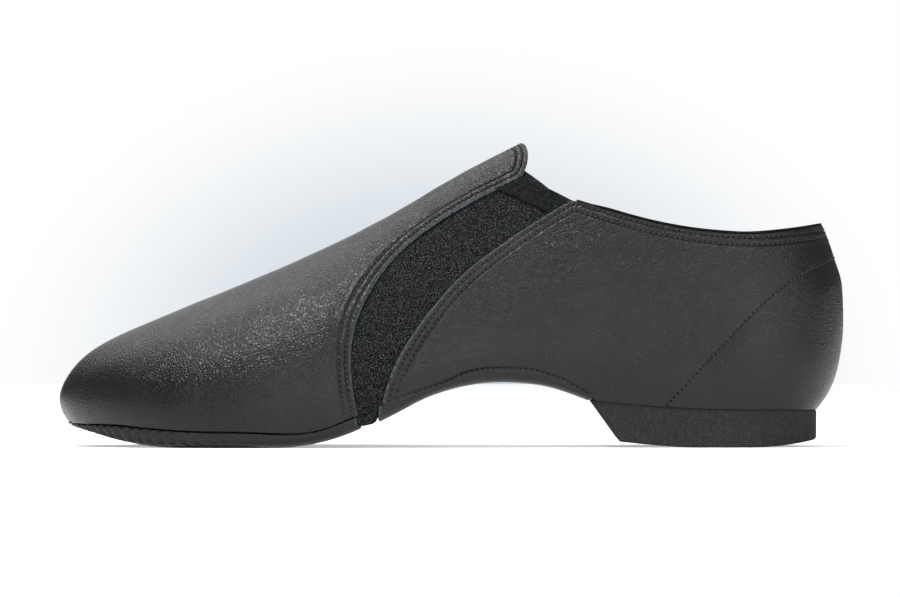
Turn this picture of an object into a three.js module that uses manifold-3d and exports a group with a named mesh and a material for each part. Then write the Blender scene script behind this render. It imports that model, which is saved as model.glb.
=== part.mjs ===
// Slip-on jazz shoe with a split sole, left foot, as an assembly of its cut, moulded and sewn pieces.
// Millimetres. +X points to the heel, -Y to the outer (lateral) side of the foot, +Z up.
// The origin is on the floor, midway along the shoe and midway across it.

import * as THREE from 'three';
import { mergeVertices } from 'three/addons/utils/BufferGeometryUtils.js';
import Module from 'manifold-3d';

// ---------------------------------------------------------------- driving dimensions

const shoeLength = 250;
const shoeHeight = 97; // floor to the top of the tongue tab
const ballWidth = 85; // across the widest part of the forefoot
const heelLift = 12.5; // floor to the heel seat

const clearance = 0.35; // between any two pieces that touch on the real shoe
const leather = 1.1; // vamp, quarters and the two sole wraps
const stretchCloth = 0.9; // gores and the strip under the waist
const goreHem = 0.8; // sewn band on top of the gores
const liningCloth = 0.7;
const counterBoard = 0.9;
const gripSuede = 0.7;
const facingLeather = 0.7;
const outsoleThickness = 1.5;
const insoleBoard = 1.2;
const sockFoam = 2;
const seatBoard = 1.6;
const heelFoam = 3;
const heelSockCloth = 0.8;
const bindingHeight = 0.9;
const threadThickness = 0.5;

const goreOverlap = 7; // how far the gores reach under the leather that they are sewn to
const wrapCorner = 6; // width of the rounded edge of the forefoot wrap
const archCorner = 8; // width of the rounded edge of the arch wrap
const outsoleMargin = 5; // from the edge of the wrap to the edge of the outsole
const insoleMargin = 7.5;
const sockMargin = 4.5;
const seatMargin = 4.6;
const rowNear = 1.8; // first row of stitches, from the cut edge
const rowFar = 4; // second row of stitches

const heelRocker = { front: 1.9, rear: 2.4 }; // rise of the heel's two ends off the floor
const breastSlant = 9.3; // how far the heel breast leans back to the floor

// ---------------------------------------------------------------- smooth curves

const lerp = (a, b, t) => a + (b - a) * t;
const clamp = (t, low, high) => Math.min(Math.max(t, low), high);
const ease = (t) => t * t * (3 - 2 * t);
const ramp = (x, from, to) => ease(clamp((x - from) / (to - from), 0, 1));

// A natural cubic spline through [x, value] points, straight past its ends.
function smooth(points) {
  const last = points.length - 1;
  const bend = new Array(last + 1).fill(0);
  const load = new Array(last + 1).fill(0);
  for (let i = 1; i < last; i++) {
    const [[x0, y0], [x1, y1], [x2, y2]] = [points[i - 1], points[i], points[i + 1]];
    const part = (x1 - x0) / (x2 - x0);
    const under = part * bend[i - 1] + 2;
    const turn = (y2 - y1) / (x2 - x1) - (y1 - y0) / (x1 - x0);
    bend[i] = (part - 1) / under;
    load[i] = ((6 * turn) / (x2 - x0) - part * load[i - 1]) / under;
  }
  for (let i = last - 1; i > 0; i--) bend[i] = bend[i] * bend[i + 1] + load[i];
  return (x) => {
    let i = 0;
    while (i < last - 1 && x > points[i + 1][0]) i++;
    const [[x0, y0], [x1, y1]] = [points[i], points[i + 1]];
    const span = x1 - x0;
    if (x < x0) return y0 + (x - x0) * ((y1 - y0) / span - (span * bend[1]) / 6);
    if (x > x1) return y1 + (x - x1) * ((y1 - y0) / span + (span * bend[last - 1]) / 6);
    const [a, b] = [(x1 - x) / span, (x - x0) / span];
    return a * y0 + b * y1 + (((a ** 3 - a) * bend[i] + (b ** 3 - b) * bend[i + 1]) * span * span) / 6;
  };
}

// A smooth line through [x, z] points, run by a share of its length from 0 to 1.
function route(points) {
  const run = [0];
  for (let i = 1; i < points.length; i++) {
    run.push(run[i - 1] + Math.hypot(points[i][0] - points[i - 1][0], points[i][1] - points[i - 1][1]));
  }
  const total = run[run.length - 1];
  const along = smooth(points.map(([x], i) => [run[i] / total, x]));
  const up = smooth(points.map(([, z], i) => [run[i] / total, z]));
  return (share) => [along(share), up(share)];
}

// ---------------------------------------------------------------- the last, at its pattern size

// The body of the shoe is drawn at one pattern size and then graded to the sizes above.
const pattern = { length: 250, height: 97, heel: 12.5, tongue: 22.8 };
const toeTip = -125;
const toeCap = -80; // the toe starts to round off in plan here
const toeFan = -98; // centre of the rays that lay out the toe
const heelTurn = 88; // centre of the rays that lay out the heel
const heelBack = 125;
const heelRadius = heelBack - heelTurn;

const ridgeBySlope = smooth(
  [
    [0, 15], [1.4, 20.3], [6.8, 27.6], [13.2, 32.4], [26, 38.5], [45.2, 46.5], [77.2, 59.9],
    [109.2, 76], [130, 87.9], [147.6, 97], [165, 105], [195, 108], [250, 106],
  ].map(([distance, height]) => [Math.sqrt(distance / pattern.length), height]),
);
const ridge = (x) => ridgeBySlope(Math.sqrt(Math.max(x - toeTip, 0) / pattern.length));
const backLine = smooth([
  [12, 117.2], [16.3, 120.3], [25, 123.4], [37, 125], [47, 125], [59, 123.3], [70.5, 119.2],
]);
const lateralHalf = smooth([
  [-125, 36], [-95, 41], [-55, 44.5], [-15, 37.5], [25, 32], [60, 30.5], [95, 31], [125, 31],
]);
const medialHalf = smooth([
  [-125, 34], [-95, 38], [-62, 40.5], [-20, 32.5], [15, 28], [50, 28.5], [95, 31], [125, 31],
]);
const centre = smooth([[-125, 6], [-60, 2], [0, 1], [60, 0], [125, 0]]);
const widest = smooth([[-125, 15], [-60, 15], [-20, 24], [20, 32], [60, 37], [125, 40]]);
const lowest = smooth([[-125, 6], [-60, 4], [-20, 10], [16, 20], [45, 14], [125, 11]]);
const leanness = smooth([[-125, -0.15], [-60, 0.1], [0, 0.6], [60, 0.6], [125, 0.3]]);
const tuck = smooth([[-125, 0.06], [-50, 0.06], [10, 0.14], [60, 0.16], [125, 0.16]]);
const axis = (x) => lerp(15, 30, ramp(x, toeFan, 0));
const noseTuck = (z) => 3.6 * (Math.max(15 - z, 0) / 8) ** 2;

// Half the width of the body, squared; negative beyond its ends and above its ridge.
function halfSquared(x, z, side) {
  let station = x;
  let cap = 1;
  if (x < toeCap) {
    const full = toeCap - toeTip;
    const share = (toeCap - x) / (full - noseTuck(z));
    station = toeCap - share * full;
    cap = 1 - share ** 2.2;
  } else if (x > heelTurn) {
    const share = (x - heelTurn) / (backLine(clamp(z, 10, 75)) - heelTurn);
    station = heelTurn + share * heelRadius;
    cap = 1 - share ** 2.4;
  }
  const half = side < 0 ? lateralHalf(station) : medialHalf(station);
  const level = widest(station);
  let fill;
  if (z > level) {
    const rise = (z - level) / Math.max(ridge(station) - level, 0.01);
    fill = 1 - rise * rise * (1 + leanness(station) * (1 - rise));
  } else {
    const drop = (level - z) / (level - lowest(station));
    fill = (1 - tuck(station) * drop * drop) ** 2;
  }
  const square = half * half * Math.abs(cap * fill);
  return cap < 0 || fill < 0 ? -square : square;
}

const sideOf = (x, y) => (y < centre(x) ? -1 : 1);
const outside = (x, y, z) => (y - centre(x)) ** 2 - halfSquared(x, z, sideOf(x, y));

// Where a ray from inside the body leaves it, in pattern size.
function castRay(from, way) {
  const at = (t) => [from[0] + way[0] * t, from[1] + way[1] * t, from[2] + way[2] * t];
  let near = 0;
  let far = 2;
  while (outside(...at(far)) < 0 && far < pattern.length) {
    near = far;
    far += 2;
  }
  for (let i = 0; i < 36; i++) {
    const middle = (near + far) / 2;
    if (outside(...at(middle)) < 0) near = middle;
    else far = middle;
  }
  return at((near + far) / 2);
}

// ---------------------------------------------------------------- grading to the real size

const liftShare = (x) => ramp(x, -60, 45);
const tongueShare = liftShare(pattern.tongue);
const scaleX = shoeLength / pattern.length;
const scaleZ = (shoeHeight - heelLift * tongueShare) / (pattern.height - pattern.heel * tongueShare);
const widthSpan = [0, 0];
for (let x = -90; x < 0; x += 1) {
  const z = widest(x);
  widthSpan[0] = Math.min(widthSpan[0], centre(x) - Math.sqrt(halfSquared(x, z, -1)));
  widthSpan[1] = Math.max(widthSpan[1], centre(x) + Math.sqrt(halfSquared(x, z, 1)));
}
const scaleY = ballWidth / (widthSpan[1] - widthSpan[0]);
const middleY = (widthSpan[0] + widthSpan[1]) / 2;
const heelRaise = (x) => (heelLift - pattern.heel * scaleZ) * liftShare(x);

function grade([x, y, z]) {
  return new THREE.Vector3(x * scaleX, (y - middleY) * scaleY, z * scaleZ + heelRaise(x));
}

function ungrade(point) {
  const x = point.x / scaleX;
  return [x, point.y / scaleY + middleY, (point.z - heelRaise(x)) / scaleZ];
}

const depthAt = (point) => outside(...ungrade(point));

function slopeAt(point) {
  const step = 0.02;
  const slope = new THREE.Vector3();
  for (const letter of ['x', 'y', 'z']) {
    const ahead = point.clone();
    const behind = point.clone();
    ahead[letter] += step;
    behind[letter] -= step;
    slope[letter] = (depthAt(ahead) - depthAt(behind)) / (2 * step);
  }
  return slope;
}

const normalAt = (point) => slopeAt(point).normalize();
const offset = (point, distance) => point.clone().addScaledVector(normalAt(point), distance);

// Slides a point that is close to the body on to its surface.
function settle(point) {
  const result = point.clone();
  for (let i = 0; i < 6; i++) {
    const slope = slopeAt(result);
    result.addScaledVector(slope, -depthAt(result) / slope.lengthSq());
  }
  return result;
}

// ---------------------------------------------------------------- lines sewn or cut on the body

const waistFront = -29.4; // the feather line ends here
const feather = smooth([
  [-121.5, 7.2], [-106.5, 7.1], [-95.8, 6.2], [-81.5, 5.3], [-60, 4.8], [-42.2, 5.5], [-32.2, 9.1],
  [waistFront, 10.1],
]);
function soleLine(x) {
  if (x < -84) return 7.3 * ((-84 - x) / 37.5) ** 2.3;
  return x > -54 ? 6 * ((x + 54) / 26) ** 2 : 0;
}
const archLine = smooth([
  [-24.5, 7.2], [-17.4, 10.8], [-9.4, 14.9], [0.2, 18.4], [8.2, 20.1], [16.2, 20.8], [24.2, 20.4],
  [32.2, 19], [38.6, 16.9], [44.5, 14.6],
]);
const hemLine = smooth([
  [-24.5, 12.5], [-13.1, 16.5], [-0.4, 20.9], [4.7, 23.1], [11, 24.5], [18.6, 24.8], [24.9, 24.4],
  [31.3, 22.9], [37.6, 20.3], [43.3, 17.1], [46.8, 15],
]);
const seatLine = smooth([[44.5, 15], [68.6, 13], [117, 12]]);
const lowerEdge = (a) => (a < 45.5 ? hemLine(a) : seatLine(Math.min(a, 117)));
const topLine = smooth([
  [38.8, 79.2], [48.2, 76.3], [61, 72.6], [73.8, 69.9], [88, 68.3], [101.7, 68.1], [110.2, 68.6],
  [120.4, 69.4], [137, 70.5], [146.1, 70.7],
]);
const counterLine = smooth([
  [68.6, 13.2], [78.1, 23.3], [88.7, 34.7], [94.9, 40.2], [101.2, 45.4], [109.7, 51.3], [119.9, 56],
  [133.6, 59.2], [147, 60.6],
]);
const vampEdge = route([
  [-29.2, 10.3], [-31.1, 22.5], [-30.8, 35.2], [-26.3, 48.4], [-17.5, 61.1], [-5.4, 71.2], [6, 78.2],
  [22.7, 86.4],
]);
const quarterFront = route([
  [-21.2, 14.2], [-19.4, 21.2], [-16.2, 28.8], [-6.1, 44], [2.8, 54.1], [14.2, 63.3], [22.4, 69],
  [38.8, 79.2],
]);
const quarterFoot = -21.2; // the lower and the upper front corners of the quarters
const quarterPeak = 38.8;
const tabEnd = smooth([[0, 22.8], [0.35, 24.2], [0.7, 24.5], [1, 22.7]]);
const tabShare = 1 / 7; // share of the vamp's rear edge, from the ridge, that is the tongue tab
const backSeam = heelTurn + heelRadius * (Math.PI / 2 - 0.006);

// The body's surface by girth: a is x up to heelTurn, then the arc round the heel; z is the height.
function skin(a, z, side) {
  if (a <= heelTurn) {
    return grade([a, centre(a) + side * Math.sqrt(Math.max(halfSquared(a, z, side), 0)), z]);
  }
  const angle = (a - heelTurn) / heelRadius;
  return grade(castRay([heelTurn, centre(heelTurn), z], [Math.sin(angle), side * Math.cos(angle), 0]));
}

const edgeOn = (line, side) => (share) => skin(...line(share), side);

// A line beside another one on the body; a distance above 0 lies towards the toe.
function beside(line, side, distance) {
  return (share) => {
    const step = 0.002;
    const ahead = line(Math.min(share + step, 1));
    const behind = line(Math.max(share - step, 0));
    const here = line(share);
    const across = normalAt(here).cross(ahead.sub(behind).normalize());
    return settle(here.addScaledVector(across, -side * distance));
  };
}

// ---------------------------------------------------------------- the fore part by rays

// girth is below 0 round the toe, -1 at its tip, and above 0 the distance behind toeFan.
// rho is 0 on the ridge or the middle of the sole, and 1 at the lower border of the piece.
function rayOrigin(girth) {
  const x = toeFan + Math.max(girth, 0);
  return [x, centre(x), axis(x)];
}

function rayHit(girth, side, angle) {
  const [x, y, z] = rayOrigin(girth);
  const turn = girth < 0 ? ((1 + girth) * Math.PI) / 2 : Math.PI / 2;
  const flat = Math.cos(angle);
  return castRay([x, y, z], [-Math.cos(turn) * flat, side * Math.sin(turn) * flat, Math.sin(angle)]);
}

const borderAngles = new Map();
function borderAngle(girth, side, height, name) {
  const key = `${name} ${girth} ${side}`;
  if (borderAngles.has(key)) return borderAngles.get(key);
  let low = -1.2;
  let high = 0.3;
  for (let i = 0; i < 30; i++) {
    const middle = (low + high) / 2;
    const [x, , z] = rayHit(girth, side, middle);
    if (z < height(x)) low = middle;
    else high = middle;
  }
  borderAngles.set(key, (low + high) / 2);
  return (low + high) / 2;
}

const rimMargin = clearance * 0.65;
const upperBorder = (x) => feather(Math.min(x, waistFront)) + rimMargin;
const wrapBorder = (x) => feather(Math.min(x, waistFront)) - rimMargin;

function upperPoint(rho, girth, side) {
  const low = borderAngle(girth, side, upperBorder, 'upper');
  return grade(rayHit(girth, side, Math.PI / 2 - rho * (Math.PI / 2 - low)));
}

// A square s, t from -1 to 1: its front half covers the toe as half a disc, its rear half runs straight.
function foreGrid(s, t) {
  if (t >= 0) return { rho: Math.abs(s), girth: t, side: s < 0 ? -1 : 1 };
  const across = s * Math.sqrt(1 - (t * t) / 2);
  const ahead = -t * Math.sqrt(1 - (s * s) / 2);
  const turn = Math.atan2(Math.abs(across), ahead);
  return { rho: Math.hypot(across, ahead), girth: turn / (Math.PI / 2) - 1, side: across < 0 ? -1 : 1 };
}

const tabCornerAngle = (side) => angleOf(ungrade(skin(...vampEdge(1), side)));

function angleOf([x, y, z]) {
  return Math.atan2(z - axis(x), Math.abs(y - centre(x)));
}

// The rear edge of the vamp as [x, rho], from the ridge (0) round the tab corner to the sole (1).
function vampRear(share, side) {
  let x;
  let angle;
  if (share < tabShare) {
    x = tabEnd(share / tabShare);
    angle = lerp(Math.PI / 2, tabCornerAngle(side), share / tabShare);
  } else {
    const point = ungrade(skin(...vampEdge(1 - (share - tabShare) / (1 - tabShare)), side));
    x = point[0];
    angle = angleOf(point);
  }
  const low = borderAngle(x - toeFan, side, upperBorder, 'upper');
  return [x, Math.min((Math.PI / 2 - angle) / (Math.PI / 2 - low), 1)];
}

// A sheet over the toe and the instep, up to a rear edge that is moved ahead by pull(share).
function forePart(pull) {
  return (s, t) => {
    const { rho, girth, side } = foreGrid(s, t);
    if (t <= 0) return upperPoint(rho, girth, side);
    const [x, end] = vampRear(rho, side);
    const rear = x - pull(rho);
    return upperPoint(lerp(rho, end, ease(t)), t * (rear - toeFan), side);
  };
}

// ---------------------------------------------------------------- closed meshes

// A closed body over a grid, from pairs of facing points; s and t both run from -1 to 1.
function sheet(columns, rows, pair) {
  const positions = [];
  const index = [];
  for (const layer of [0, 1]) {
    for (let i = 0; i <= rows; i++) {
      for (let j = 0; j <= columns; j++) {
        const [t, s] = [(2 * i) / rows - 1, (2 * j) / columns - 1];
        positions.push(...pair(s, t)[layer].toArray());
      }
    }
  }
  const at = (layer, i, j) => layer * (rows + 1) * (columns + 1) + i * (columns + 1) + j;
  const quad = (a, b, c, d) => index.push(a, b, c, a, c, d);
  for (let i = 0; i < rows; i++) {
    for (let j = 0; j < columns; j++) {
      quad(at(0, i, j), at(0, i, j + 1), at(0, i + 1, j + 1), at(0, i + 1, j));
      quad(at(1, i, j), at(1, i + 1, j), at(1, i + 1, j + 1), at(1, i, j + 1));
    }
  }
  for (let j = 0; j < columns; j++) {
    quad(at(0, 0, j), at(1, 0, j), at(1, 0, j + 1), at(0, 0, j + 1));
    quad(at(0, rows, j), at(0, rows, j + 1), at(1, rows, j + 1), at(1, rows, j));
  }
  for (let i = 0; i < rows; i++) {
    quad(at(0, i, 0), at(0, i + 1, 0), at(1, i + 1, 0), at(1, i, 0));
    quad(at(0, i, columns), at(1, i, columns), at(1, i + 1, columns), at(0, i + 1, columns));
  }
  return facingOut(positions, index);
}

function facingOut(positions, index) {
  let volume = 0;
  const corner = (k) => new THREE.Vector3().fromArray(positions, index[k] * 3);
  for (let k = 0; k < index.length; k += 3) {
    volume += corner(k).dot(corner(k + 1).cross(corner(k + 2)));
  }
  if (volume < 0) index.reverse();
  const geometry = new THREE.BufferGeometry();
  geometry.setAttribute('position', new THREE.Float32BufferAttribute(positions, 3));
  geometry.setIndex(index);
  geometry.computeVertexNormals();
  return geometry;
}

// Cloth or leather that follows the body between two depths under its surface.
const skinSheet = (columns, rows, place, outer, inner) =>
  sheet(columns, rows, (s, t) => {
    const point = place(s, t);
    return [offset(point, -outer), offset(point, -inner)];
  });

// A patch between four border lines in [a, z], as a Coons patch.
function coons(bottom, top, front, back) {
  const mix = (u, v, axisIndex) => {
    const [b, t, f, k] = [bottom(u), top(u), front(v), back(v)].map((point) => point[axisIndex]);
    const [c00, c10] = [bottom(0)[axisIndex], bottom(1)[axisIndex]];
    const [c01, c11] = [top(0)[axisIndex], top(1)[axisIndex]];
    const corners = lerp(lerp(c00, c10, u), lerp(c01, c11, u), v);
    return lerp(b, t, v) + lerp(f, k, u) - corners;
  };
  return (u, v) => [mix(u, v, 0), mix(u, v, 1)];
}

const overGirth = (from, to, height) => (share) => {
  const a = lerp(from, to, share);
  return [a, height(a)];
};

const threadSection = new THREE.Shape(
  Array.from({ length: 5 }, (_, i) => {
    const angle = (i * 2 * Math.PI) / 5;
    return new THREE.Vector2(Math.cos(angle), Math.sin(angle)).multiplyScalar(threadThickness / 2);
  }),
);

// A row of stitches as one thread that lies on the leather.
function threadAlong(points, steps) {
  const height = clearance + threadThickness / 2;
  const path = new THREE.CatmullRomCurve3(points.map((point) => offset(point, height)));
  return new THREE.ExtrudeGeometry(threadSection, { steps, bevelEnabled: false, extrudePath: path });
}

const sampled = (line, from, to, count) =>
  Array.from({ length: count }, (_, i) => line(lerp(from, to, i / (count - 1))));

// ---------------------------------------------------------------- soles by rays

// The underside: flat in the middle, then a rounded edge up to the rim of the piece.
function underside(rho, girth, side, shape) {
  const origin = rayOrigin(girth);
  const rim = shape.rimPoint(girth, side);
  const [dx, dy] = [rim[0] - origin[0], rim[1] - origin[1]];
  const reach = Math.hypot(dx, dy);
  const corner = shape.corner(rim[0]);
  const flat = reach - corner;
  let out = (rho / shape.flatShare) * flat;
  let rise = 0;
  if (rho > shape.flatShare) {
    const angle = (((rho - shape.flatShare) / (1 - shape.flatShare)) * Math.PI) / 2;
    out = flat + corner * Math.sin(angle);
    rise = 1 - Math.cos(angle);
  }
  const x = origin[0] + (dx * out) / reach;
  const z = shape.bottom(x) + (rim[2] - shape.bottom(rim[0])) * rise;
  const point = grade([x, origin[1] + (dy * out) / reach, z]);
  point.z += shape.raise(x) * (1 - rise);
  return point;
}

// The same with its direction inwards, for a wall of an even thickness.
function undersidePair(rho, girth, side, shape, outer, inner) {
  const step = 0.01;
  const here = Math.max(rho, 0.02);
  const point = underside(rho, girth, side, shape);
  const alongRho = underside(Math.min(here + step, 1), girth, side, shape);
  alongRho.sub(underside(Math.min(here + step, 1) - 2 * step, girth, side, shape));
  const alongGirth = underside(here, girth + step, side, shape);
  alongGirth.sub(underside(here, girth - step, side, shape));
  const inward = alongRho.cross(alongGirth).normalize();
  if (inward.z < 0) inward.negate();
  const rimHeight = grade(shape.rimPoint(girth, side)).z;
  return [outer, inner].map((distance) => {
    const wall = point.clone().addScaledVector(inward, distance);
    return wall.setZ(Math.min(wall.z, rimHeight));
  });
}

const rimAt = (height, name) => (girth, side) => {
  if (girth <= 0) return rayHit(girth, side, borderAngle(girth, side, height, name));
  const x = toeFan + girth;
  const z = height(x);
  return [x, centre(x) + side * Math.sqrt(halfSquared(x, z, side)), z];
};

const outsoleSpan = [-104, -46];
const outsoleCover = (x) => ramp(x, -116, outsoleSpan[0] - 2) * (1 - ramp(x, outsoleSpan[1] + 2, -27));
const wrapShape = {
  rimPoint: rimAt(wrapBorder, 'wrap'),
  bottom: soleLine,
  corner: () => wrapCorner,
  flatShare: 0.62,
  raise: (x) => (outsoleThickness + clearance) * outsoleCover(x),
};
const archShape = {
  rimPoint: rimAt((x) => hemLine(x) - rimMargin, 'arch'),
  bottom: archLine,
  corner: () => archCorner,
  flatShare: 0.5,
  raise: () => 0,
};

// A flat-laid plate of the forefoot, inside the wrap, from the toe to a straight rear end.
function forePlate(rear, margin, height, thickness) {
  return sheet(6, 12, (s, t) => {
    const { rho, girth, side } = foreGrid(s, t);
    const where = t > 0 ? t * (rear - toeFan) : girth;
    const origin = rayOrigin(where);
    const rim = wrapShape.rimPoint(where, side);
    const reach = Math.hypot(rim[0] - origin[0], rim[1] - origin[1]);
    const share = (rho * (reach - margin)) / reach;
    const x = lerp(origin[0], rim[0], share);
    const low = grade([x, lerp(origin[1], rim[1], share), soleLine(x)]);
    low.z += height;
    return [low, low.clone().setZ(low.z + thickness)];
  });
}

// A plate with rounded ends between two stations; half(x) is half its width at each side.
function roundPlate(from, to, roundness, half, bottom, thickness) {
  const blunt = 0.985; // the ends stop just short of a point
  return sheet(6, 12, (s, t) => {
    const along = blunt * Math.sin((t * Math.PI) / 2);
    const x = lerp(from, to, (along + 1) / 2);
    const narrow = (1 - Math.abs(along) ** roundness) ** (1 / roundness);
    const y = centre(x) + s * half(x, s < 0 ? -1 : 1) * narrow;
    const low = bottom(x, y);
    return [low, low.clone().setZ(low.z + thickness)];
  });
}

const halfAt = (x, z, side) => Math.sqrt(Math.max(halfSquared(x, z, side), 0));

// ---------------------------------------------------------------- solids that are cut

const wasm = await Module();
wasm.setup();

function toSolid(geometry) {
  const bare = geometry.clone();
  bare.deleteAttribute('normal');
  bare.deleteAttribute('uv');
  const merged = mergeVertices(bare, 1e-4);
  const vertProperties = new Float32Array(merged.attributes.position.array);
  const triVerts = new Uint32Array(merged.index.array);
  return new wasm.Manifold(new wasm.Mesh({ numProp: 3, vertProperties, triVerts }));
}

function toGeometry(solid) {
  const mesh = solid.getMesh();
  const geometry = new THREE.BufferGeometry();
  geometry.setAttribute('position', new THREE.Float32BufferAttribute(mesh.vertProperties, 3));
  geometry.setIndex(new THREE.Uint32BufferAttribute(mesh.triVerts, 1));
  return geometry;
}

// The heel block: its side outline and its plan outline, both extruded and met.
function heelBlockGeometry() {
  const from = 44.5;
  const flat = [78, 94];
  const noseRun = 24.2; // from the foot of the breast to the flat
  const back = backLine(12);
  const floorAt = (x) => {
    const front = heelRocker.front * (Math.max(flat[0] - x, 0) / noseRun) ** 2;
    return front + heelRocker.rear * (Math.max(x - flat[1], 0) / (back - flat[1])) ** 2;
  };
  const top = Array.from({ length: 13 }, (_, i) => {
    const x = lerp(from, back + 1, i / 12);
    return grade([x, 0, seatLine(x)]);
  }).map((point) => [point.x, point.z - clearance]);
  const breastFoot = from * scaleX + breastSlant;
  const bottom = Array.from({ length: 13 }, (_, i) => {
    const x = lerp((back + 1) * scaleX, breastFoot, i / 12);
    return [x, floorAt(x / scaleX)];
  });
  const outline = new THREE.Shape([...top, ...bottom].map(([x, z]) => new THREE.Vector2(x, z)));
  const sideways = new THREE.ExtrudeGeometry(outline, { depth: 2 * ballWidth, bevelEnabled: false });
  sideways.rotateX(Math.PI / 2);
  sideways.translate(0, ballWidth, 0);
  const plan = [];
  for (const side of [-1, 1]) {
    const half = Array.from({ length: 25 }, (_, i) => {
      const a = lerp(from - 2, heelTurn + (heelRadius * Math.PI) / 2, i / 24);
      return skin(a, seatLine(Math.min(a, 117)), side);
    });
    if (side > 0) half.reverse().shift();
    plan.push(...half.map((point) => new THREE.Vector2(point.x, point.y)));
  }
  const upright = new THREE.ExtrudeGeometry(new THREE.Shape(plan), {
    depth: 4 * heelLift,
    bevelEnabled: false,
  });
  upright.translate(0, 0, -heelLift);
  return toGeometry(toSolid(sideways).intersect(toSolid(upright)));
}

// ---------------------------------------------------------------- materials

const finish = (color, roughness) => new THREE.MeshStandardMaterial({ color, roughness, metalness: 0 });
const smoothLeather = finish(0x2f2f2d, 0.45);
const soleSuede = finish(0x232322, 0.95);
const neoprene = finish(0x151617, 0.9);
const ribbedHem = finish(0x1c1c1e, 0.85);
const cottonLining = finish(0x3a3a3c, 0.9);
const fibreboard = finish(0x6b5a45, 0.9);
const latexFoam = finish(0x55544f, 0.95);
const cellularRubber = finish(0x1f1f20, 0.8);
const polyesterThread = finish(0x1a1a1a, 0.6);

const shoe = new THREE.Group();
function add(name, geometry, material) {
  const mesh = new THREE.Mesh(geometry, material);
  mesh.name = name;
  shoe.add(mesh);
}

const sides = [[-1, 'lateral'], [1, 'medial']];
const secondLayer = leather + clearance;
const thirdLayer = secondLayer + Math.max(stretchCloth, counterBoard, liningCloth) + clearance;

// ---------------------------------------------------------------- vamp: leather, lining and facing

add('vamp', skinSheet(24, 20, forePart(() => 0), 0, leather), smoothLeather);

const liningPull = (share) => lerp(30, goreOverlap + 4, ease(clamp(share * 1.1, 0, 1)));
add(
  'vamp_lining',
  skinSheet(20, 14, forePart(liningPull), secondLayer, secondLayer + liningCloth),
  cottonLining,
);

const facingSpan = [6, 21.5];
const facingPlace = (s, t) => {
  const x = lerp(...facingSpan, (t + 1) / 2);
  const side = s < 0 ? -1 : 1;
  const angle = lerp(Math.PI / 2, tabCornerAngle(side), 0.85 * Math.abs(s));
  return grade(rayHit(x - toeFan, side, angle));
};
add(
  'tongue_facing',
  skinSheet(6, 4, facingPlace, thirdLayer, thirdLayer + facingLeather),
  smoothLeather,
);

// ---------------------------------------------------------------- gores: stretch cloth and its hem

const hemShare = 0.91; // where the hem band starts, along the gore's two long edges
const goreFoot = 0.012;
const goreTop = 0.995;

for (const [side, sideName] of sides) {
  const toeSide = edgeOn(vampEdge, side);
  const heelSide = edgeOn(quarterFront, side);
  const between = (ahead, behind, from, to) => (s, t) => {
    const share = lerp(from, to, (t + 1) / 2);
    return settle(ahead(share).lerp(behind(share), (s + 1) / 2));
  };
  const underVamp = beside(toeSide, side, goreOverlap);
  const underQuarter = beside(heelSide, side, -goreOverlap);
  add(
    `gore_${sideName}`,
    skinSheet(4, 13, between(underVamp, underQuarter, goreFoot, goreTop), secondLayer, secondLayer + stretchCloth),
    neoprene,
  );
  const besideVamp = beside(toeSide, side, -clearance);
  const besideQuarter = beside(heelSide, side, clearance);
  add(
    `gore_hem_${sideName}`,
    skinSheet(4, 3, between(besideVamp, besideQuarter, hemShare, goreTop), leather - goreHem, leather),
    ribbedHem,
  );
}

// ---------------------------------------------------------------- quarters, their linings, counter

for (const [side, sideName] of sides) {
  const cut = coons(
    overGirth(quarterFoot, backSeam, (a) => lowerEdge(a) + (rimMargin + 0.1) * ramp(a, 52, 45)),
    overGirth(quarterPeak, backSeam, topLine),
    quarterFront,
    (share) => [backSeam, lerp(lowerEdge(backSeam), topLine(backSeam), share)],
  );
  const place = (s, t) => skin(...cut((s + 1) / 2, (t + 1) / 2), side);
  add(`quarter_${sideName}`, skinSheet(20, 11, place, 0, leather), smoothLeather);
}

for (const [side, sideName] of sides) {
  const inset = goreOverlap + 2.4;
  const front = beside(edgeOn(quarterFront, side), side, -inset);
  const frontLine = (share) => {
    const [x, , z] = ungrade(front(lerp(0.1, 0.95, share)));
    return [x, z];
  };
  const [low, high] = [frontLine(0), frontLine(1)];
  const bottomLine = (a) => Math.max(lowerEdge(a) + 1, a > 66 ? counterLine(a) + 2.2 : 0);
  const topInset = (a) => topLine(a) - 0.2;
  const startFix = (share) => (1 - share) * (low[1] - bottomLine(low[0]));
  const topFix = (share) => (1 - share) * (high[1] - topInset(high[0]));
  const cut = coons(
    (share) => {
      const [a, z] = overGirth(low[0], backSeam, bottomLine)(share);
      return [a, z + startFix(Math.min(share * 6, 1))];
    },
    (share) => {
      const [a, z] = overGirth(high[0], backSeam, topInset)(share);
      return [a, z + topFix(Math.min(share * 6, 1))];
    },
    frontLine,
    (share) => [backSeam, lerp(bottomLine(backSeam), topInset(backSeam), share)],
  );
  const place = (s, t) => skin(...cut((s + 1) / 2, (t + 1) / 2), side);
  add(
    `quarter_lining_${sideName}`,
    skinSheet(14, 6, place, secondLayer, secondLayer + liningCloth),
    cottonLining,
  );
}

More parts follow.
